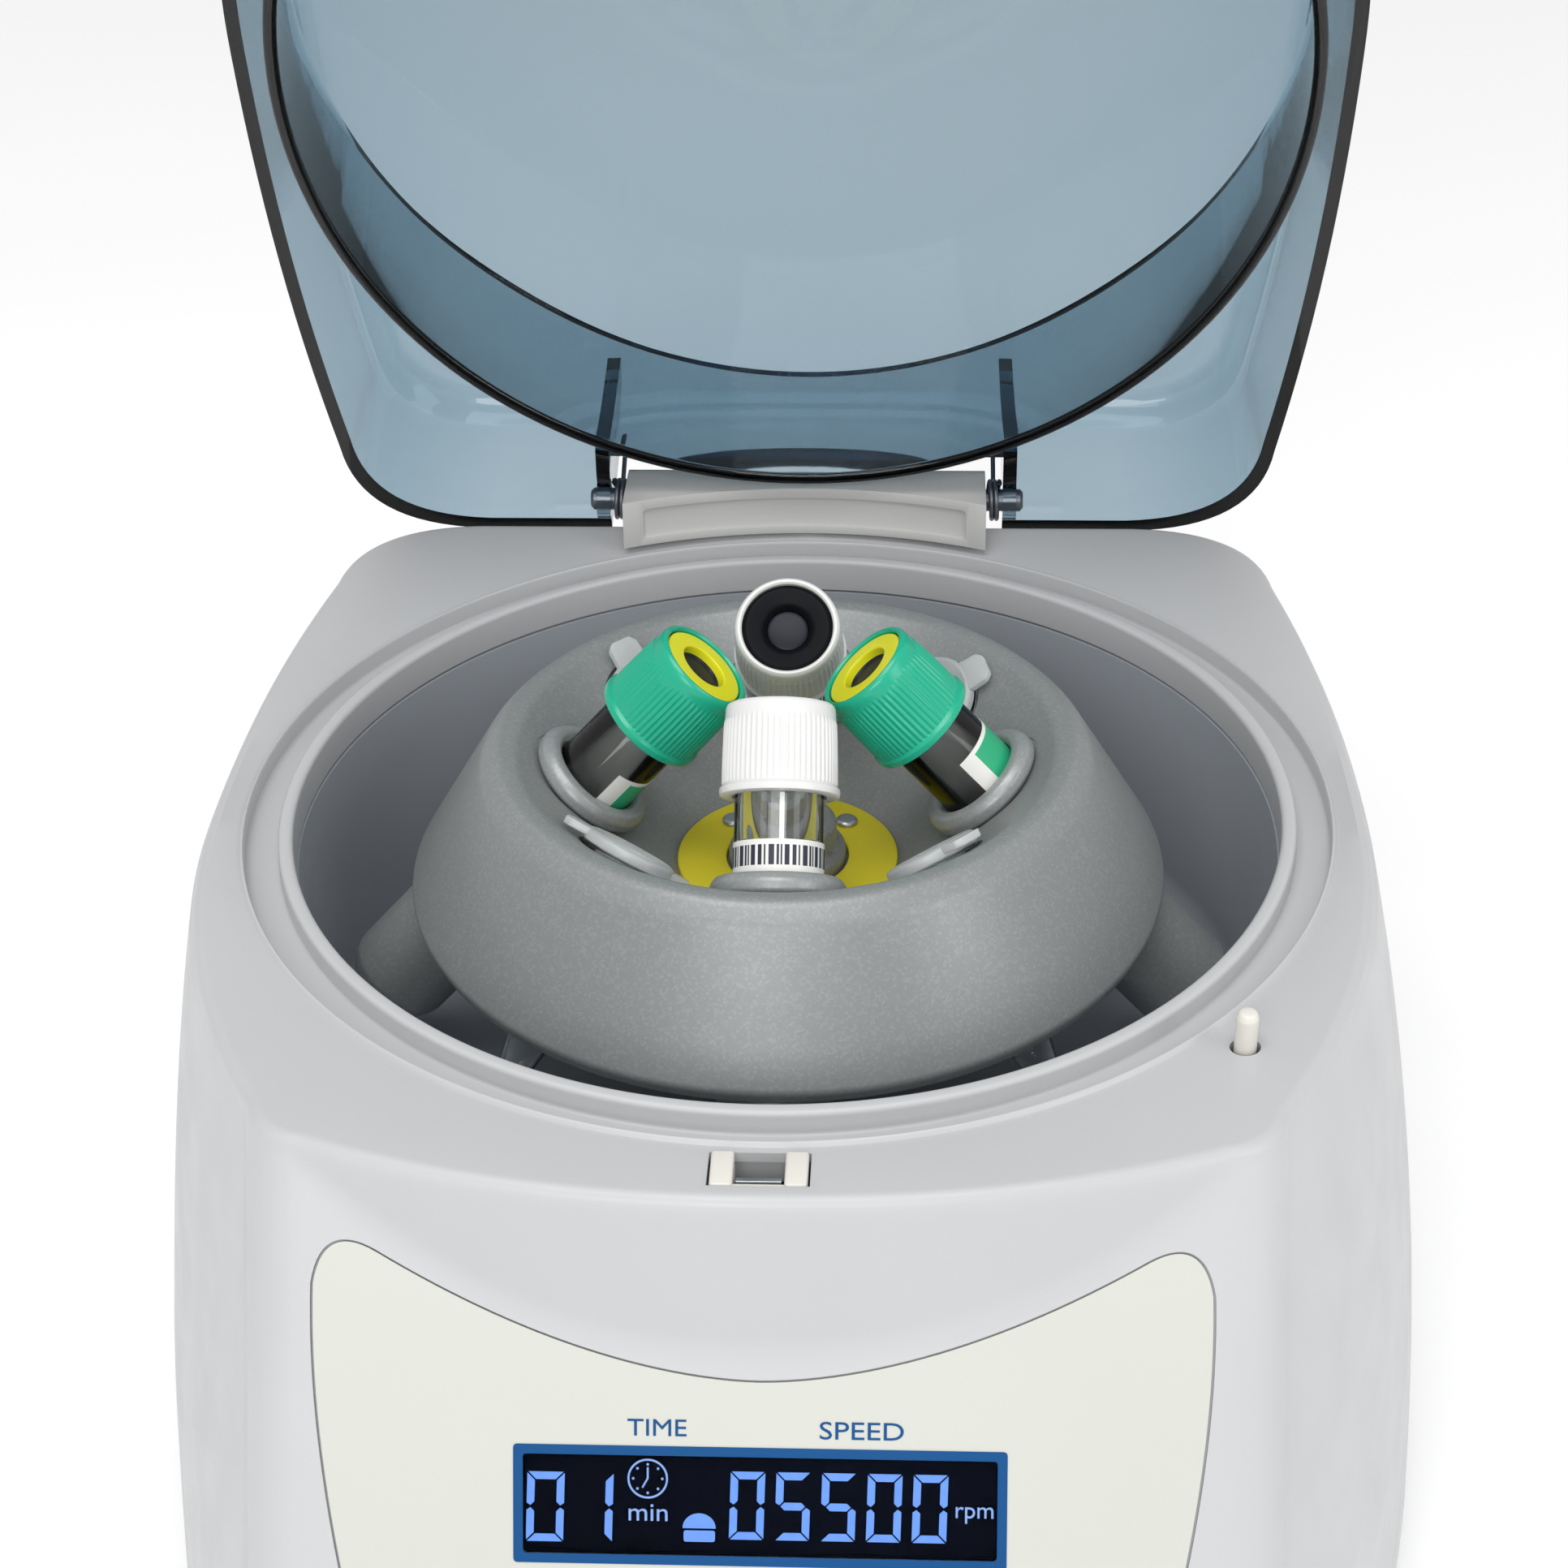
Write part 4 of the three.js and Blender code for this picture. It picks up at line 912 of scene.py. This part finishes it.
def microtube(i, place):
    """Snap-cap tube: tapered body with a rim, and a cap with a thumb tab and a hinge strap."""
    body = turned("micro", [
        (0, -37), (1.4, -36.6, 0.6), (2.2, -34), (5.1, -18), (5.3, 0.1), (6.7, 0.3, 0.3), (6.9, 0.6, 0.2),
        (6.9, 1.9, 0.3), (4.9, 1.9, 0.3), (4.7, 0.6), (4.5, -18), (1.6, -34), (0, -36)], 56, False, place)
    stand_in(body, f"microtube_{i}", "body", CLEAR, "rotor")
    lid = turned("cap", [
        (0, 2.6), (4.3, 2.6, 0.3), (4.6, 3.4, 0.3), (6.5, 4.0, 0.3), (7.2, 3.6, 0.4), (7.2, 2.1, 0.3),
        (4.75, 2.1, 0.2), (4.6, -2.2, 0.4), (4.2, -2.2, 0.2), (3.9, 1.0, 0.4), (0, 1.5)], 56, False, place)
    tab = prism_z("tab", fillet([(6.4, -2.8, 0.3), (9.6, -2.6, 0.7), (10.6, -1.6, 0.7), (10.6, 1.6, 0.7),
                                 (9.6, 2.6, 0.7), (6.4, 2.8, 0.3)], 4), 2.6, 3.8, place)
    strap = prism_z("strap", [(-6.4, -2), (-9.6, -1.6), (-9.6, 1.6), (-6.4, 2)], 2.6, 3.5, place)
    top = merged("cap", [lid, beveled(tab, 0.2), strap])
    finish_piece(top, f"microtube_{i}_cap", CAP_CLEAR, "rotor", ())


def load_rotor():
    rotor()
    hub()
    for i, azimuth in enumerate(TUBE_AZIMUTHS, 1):
        place = tube_matrix(azimuth)
        sleeve(i, place)
        glass_tube(i, place)
        labels(i, place)
        cap(i, place, CAP_GREEN if i % 2 == 0 else CAP_WHITE)
        stopper(i, place)
    for i, spot in enumerate(MICROS, 1):
        microtube(i, micro_matrix(*spot))


# ---- front panel
SEGMENTS = {"0": "abcdef", "1": "bc", "5": "acdfg"}
PRINT_Y = 0.68    # how far behind the panel's face the display's signs lie


def front_overlay():
    film = on_panel(panel_outline(0.35), 0.15, 0.5)
    boolean(film, panel_openings(0, -1, 2))
    stand_in(film, "front_overlay", "film", OVERLAY, "base", 40)


def flat_ring(outer, inner, y0, y1):
    """Line on the panel between two outlines that have the same number of points."""
    edges = ((outer, y0), (outer, y1), (inner, y1), (inner, y0))
    loops = [[(x, y, z) for x, z in outline] for outline, y in edges]
    return loft("ring", loops, caps=False, closed_stack=True, matrix=PANEL)


def words(name, text, area, y, material):
    """Small word that fills an area (x0, x1, z0, z1) of the panel."""
    data = bpy.data.curves.new(name, "FONT")
    data.body = text
    data.extrude = 0.02
    data.resolution_u = 4
    obj = new_object(name, data)
    bpy.context.view_layer.update()
    mesh = bpy.data.meshes.new_from_object(obj.evaluated_get(bpy.context.evaluated_depsgraph_get()))
    bpy.data.objects.remove(obj)
    low_x, high_x = min(v.co.x for v in mesh.vertices), max(v.co.x for v in mesh.vertices)
    low_y, high_y = min(v.co.y for v in mesh.vertices), max(v.co.y for v in mesh.vertices)
    x0, x1, z0, z1 = area
    for v in mesh.vertices:
        v.co = (x0 + (x1 - x0) * (v.co.x - low_x) / (high_x - low_x), y - math.copysign(0.04, v.co.z),
                z0 + (z1 - z0) * (v.co.y - low_y) / (high_y - low_y))
    mesh.transform(PANEL)
    finish_piece(new_object(name, mesh), name, material, "base", (), 30)


def segment_outline(which, x, z, w, h):
    """One bar of a seven-segment digit whose lower left corner is (x, z), mitred to its neighbours."""
    t, gap = 1.0, 0.16
    right, top, middle = x + w, z + h, z + h / 2

    def level(outer, inner):
        return [(x + gap, outer), (right - gap, outer), (right - t - gap, inner), (x + t + gap, inner)]

    def upright(outer, inner, corner, side):
        near, core = corner - side * gap, middle + side * gap
        return [(outer, near), (inner, near - side * t), (inner, core + side * t / 2),
                ((outer + inner) / 2, core), (outer, core + side * t / 3)]
    shapes = {
        "a": level(top, top - t), "d": level(z, z + t),
        "g": [(x + gap + t / 2, middle), (x + t + gap, middle + t / 2),
              (right - t - gap, middle + t / 2), (right - gap - t / 2, middle),
              (right - t - gap, middle - t / 2), (x + t + gap, middle - t / 2)],
        "f": upright(x, x + t, top, 1), "b": upright(right, right - t, top, 1),
        "e": upright(x, x + t, z, -1), "c": upright(right, right - t, z, -1)}
    return shapes[which]


def digits(text, x, pitch, width, height, foot):
    bars = []
    for k, digit in enumerate(text):
        for which in SEGMENTS[digit]:
            outline = segment_outline(which, x + pitch * k, foot, width, height)
            leaning = [(px + 0.027 * (pz - foot), pz) for px, pz in outline]
            bars.append(on_panel(leaning, PRINT_Y, PRINT_Y + 0.1))
    return bars


def lit_sign(name, parts, material):
    finish_piece(merged("sign", parts), name, material, "base", (), 30)


def display():
    lcd = on_panel(window_outline(0.68, 0.7), 0.8, 4.2)
    holder = box((-34, 3.8, WINDOW_BOTTOM - 3.2), (34, 7.2, WINDOW_TOP + 3.2), PANEL)
    mask = flat_ring(window_outline(0.35), window_outline(0.75), 0.54, 0.62)
    stand_in(merged("module", [lcd, beveled(holder, 0.5)]), "display_module", "panel", DISPLAY,
             "base", 40)
    finish_piece(mask, "display_mask", DISPLAY, "base", (), 40)
    stand_in(on_panel(window_outline(0.3), 0.15, 0.5), "display_window", "pane", WINDOW,
             "base", 40)
    bars = digits("01", -30.6, 6.4, 4.9, 9.3, -53.5) + digits("05500", -4.0, 5.95, 4.5, 9.05, -52.8)
    lit_sign("display_digits", bars, SEGMENT)
    words("display_min", "min", (-17.1, -12.0, -50.5, -48.3), PRINT_Y, PALE)
    words("display_rpm", "rpm", (25.5, 30.4, -50.1, -47.9), PRINT_Y, PALE)
    clock_and_lid()


def clock_and_lid():
    x, z, y1 = -14.6, -44.9, PRINT_Y + 0.08
    outlines = []
    for a in (math.radians(45 * k) for k in range(8)):
        outlines.append(ellipse(x + 1.9 * math.sin(a), z + 1.9 * math.cos(a), 0.17, 0.17, 10))
    outlines.append([(x - 0.12, z), (x + 0.12, z), (x + 0.12, z + 1.5), (x - 0.12, z + 1.5)])
    outlines.append([(x - 0.1, z + 0.1), (x - 0.8, z - 1.15), (x - 0.6, z - 1.25), (x + 0.1, z)])
    rim = flat_ring(ellipse(x, z, 2.65, 2.65), ellipse(x, z, 2.4, 2.4), PRINT_Y, y1)
    lit_sign("display_clock", [rim] + [on_panel(outline, PRINT_Y, y1) for outline in outlines], PALE)
    dome = [(-7.88 + 2.17 * math.cos(a), -51.4 + 2.0 * math.sin(a))
            for a in (math.pi * k / 16 for k in range(17))]
    tray = rounded_rect(4.1, 1.5, 0.3, -7.85, -52.45, 2)
    lit_sign("display_lid_mark", [on_panel(outline, PRINT_Y, y1) for outline in (dome, tray)], SEGMENT)


def printing():
    border = flat_ring(window_outline(-0.85, 0.6), window_outline(0.42, 0.5), 0.05, 0.14)
    finish_piece(border, "display_border", PRINT_BLUE, "base", (), 40)
    words("word_time", "TIME", (-17.2, -9.5, -39.0, -36.8), 0.12, PRINT_BLUE)
    words("word_speed", "SPEED", (7.8, 18.7, -39.1, -36.75), 0.12, PRINT_BLUE)


def keys():
    for name, x in zip(KEY_NODES, KEY_XS):
        loops = []
        for depth, grow in ((5.6, 1.4), (4.0, 1.4), (4.0, 0.0), (0.2, 0.0), (-0.4, -0.15), (-0.8, -0.5),
                            (-1.0, -1.0), (-1.0, -2.2), (-0.85, -3.4)):
            loops.append([(px, depth, pz) for px, pz in key_outline(x, grow, 64)])
        stand_in(loft("key", loops, matrix=PANEL), name, "cap", KEY_BLUE, name, 40)
        if name == "key_start_stop":
            shapes = [rounded_rect(2.6, 2.6, 0.3, x + 2.2, KEY_ROW),
                      [(x - 3.4, KEY_ROW - 1.6), (x - 0.8, KEY_ROW), (x - 3.4, KEY_ROW + 1.6)]]
        else:
            up = 1 if name.endswith("up") else -1
            foot = KEY_ROW - 0.9 * up
            shapes = [[(x - 1.35, foot), (x + 1.35, foot), (x, KEY_ROW + 1.3 * up)]]
        marks = [on_panel(shape, -1.08, -0.8) for shape in shapes]
        finish_piece(merged("marks", marks), f"{name}_mark", PRINT_WHITE, name, (), 30)


# ---- rear wall, underside and inside
def rear_fitting(body, flange, cavity, reach, depth, face):
    """Body through the rear wall, with a flange outside it and a cavity open to the rear."""
    y = REAR_WALL_Y
    shell = prism_y("body", body, y - reach, y + 1)
    boolean(shell, beveled(prism_y("flange", flange, y + 0.3, y + face), 0.5, 3), "UNION")
    return boolean(shell, prism_y("cavity", cavity, y - depth, y + 6))


def power_inlet():
    corners = ((-11.8, -7.8), (11.8, -7.8), (11.8, 3.4), (7.6, 7.8), (-7.6, 7.8), (-11.8, 3.4))
    cavity = fillet([(INLET_X + x, INLET_Z + z, 0.6) for x, z in corners], 4)
    shell = rear_fitting(rounded_rect(27.2, 20, 1.5, INLET_X, INLET_Z),
                         rounded_rect(31.2, 24.8, 3, INLET_X, INLET_Z), cavity, 16, 13, 2.4)
    stand_in(shell, "power_inlet", "socket", BLACK, "base")
    blades = []
    for dx, dz in ((-7, -1.6), (7, -1.6), (0, 2.4)):
        x, z = INLET_X + dx, INLET_Z + dz
        blade = box((x - 1, REAR_WALL_Y - 14, z - 2), (x + 1, REAR_WALL_Y - 2, z + 2))
        blades.append(beveled(blade, 0.5))
    finish_piece(merged("blades", blades), "power_inlet_blades", STEEL, "base", ())


def power_switch():
    sizes = ((20, 14, 1), (24, 18, 2), (17.2, 11.2, 0.8))
    bezel = rear_fitting(*[rounded_rect(*size, SWITCH_X, INLET_Z) for size in sizes], 12, 8, 2.2)
    finish_piece(bezel, "power_switch_bezel", BLACK, "base", ["power_switch_frame"])
    crown = [(x, 2.6 - 1.4 * (1 - (abs(x) / 8) ** 1.6)) for x in range(8, -9, -1)]
    outline = [(-8, -3.4), (8, -3.4)] + crown
    turn = Matrix.Translation((SWITCH_X, 99.4, INLET_Z)) @ Matrix.Rotation(math.radians(8), 4, "Z")
    paddle = beveled(prism_z("paddle", outline, -5.1, 5.1, turn), 0.4, 3, 40)
    finish_piece(paddle, "power_rocker_paddle", BLACK, "power_rocker", ["power_switch_rocker"])
    bar = prism_y("bar", rounded_rect(0.7, 4.2, 0.3, -5.2, 0), 2.0, 2.35, turn)
    finish_piece(bar, "power_rocker_mark", PRINT_WHITE, "power_rocker", (), 30)


def carried_over():
    """CAD nodes whose shape is right as it is get their finish here."""
    finishes = {
        "base_plate": BASE, "latch_solenoid": ZINC, "lid_sense_switch": BLACK, "control_board": BOARD,
        "motor": STEEL, "motor_plate": ZINC, "drive_shaft": STEEL}
    finishes.update({f"foot_{i}": RUBBER for i in (1, 2, 3, 4)})
    finishes.update({f"motor_damper_{i}": RUBBER for i in (1, 2, 3)})
    for name, material in finishes.items():
        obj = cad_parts[name]
        obj.data.materials.clear()
        obj.data.materials.append(material)


hinge_bracket()
for hand in SIDES:
    hinge_pin(*hand)
latch()
sense_pin()
lid_shell()
lid_fittings()
load_rotor()
front_overlay()
display()
printing()
keys()
power_inlet()
power_switch()
carried_over()


# ---- camera, floor and light
EYE = Vector((18.935, -377.797, 243.728))    # in the deck frame
# degrees: heading, tilt up from straight down, and roll
EYE_TURN, EYE_PITCH, EYE_ROLL = 2.9238, 57.3541, -1.1036
LENS = 67.86
SOFTBOXES = (    # name, place in metres, size in metres, power in watts
    ("top", (-0.1, -0.35, 1.5), (1.0, 0.8), 9.6),
    ("front", (-0.2, -1.5, 0.95), (0.9, 0.7), 8.4),
    ("side", (1.2, -0.7, 0.8), (0.6, 0.8), 3.7))
LIGHT_TARGET = Vector((0, 0, 0.1))
WORLD_STRENGTH = 0.58
FLOOR_GLOW = 0.14


def point_camera():
    data = bpy.data.cameras.new("camera")
    data.lens = LENS
    data.sensor_width = 36
    data.clip_end = 20
    camera = new_object("camera", data)
    turns = ((EYE_TURN, "Z"), (EYE_PITCH, "X"), (EYE_ROLL, "Z"))
    place = Matrix.Translation(TO_ROW @ EYE)
    for degrees, axis in turns:
        place = place @ Matrix.Rotation(math.radians(degrees), 4, axis)
    camera.matrix_world = place
    bpy.context.scene.camera = camera


def lay_floor():
    floor = solid("floor", [(x, y, 0) for x, y in ((-4, -4), (4, -4), (4, 4), (-4, 4))], [(0, 1, 2, 3)])
    mat, nodes, links, bsdf = new_material("floor_white")
    tone = two_tone(nodes, links, noise(nodes, links, 3, 2), (0.9, 0.9, 0.9), (0.93, 0.93, 0.93))
    links.new(tone, bsdf.inputs["Base Color"])
    set_inputs(bsdf, {"Roughness": 0.8, "Emission Color": (1, 1, 1, 1), "Emission Strength": FLOOR_GLOW})
    floor.data.materials.append(mat)


def light_studio():
    world = bpy.data.worlds.new("world")
    bpy.context.scene.world = world
    world.use_nodes = True
    set_inputs(world.node_tree.nodes["Background"], {"Color": (1, 1, 1, 1), "Strength": WORLD_STRENGTH})
    for name, place, size, power in SOFTBOXES:
        data = bpy.data.lights.new(name, "AREA")
        data.shape = "RECTANGLE"
        data.size, data.size_y = size
        data.energy = power
        light = new_object(name, data)
        light.location = place
        light.rotation_euler = (LIGHT_TARGET - Vector(place)).to_track_quat("-Z", "Y").to_euler()
    bpy.context.scene.view_settings.view_transform = "Standard"


point_camera()
lay_floor()
light_studio()
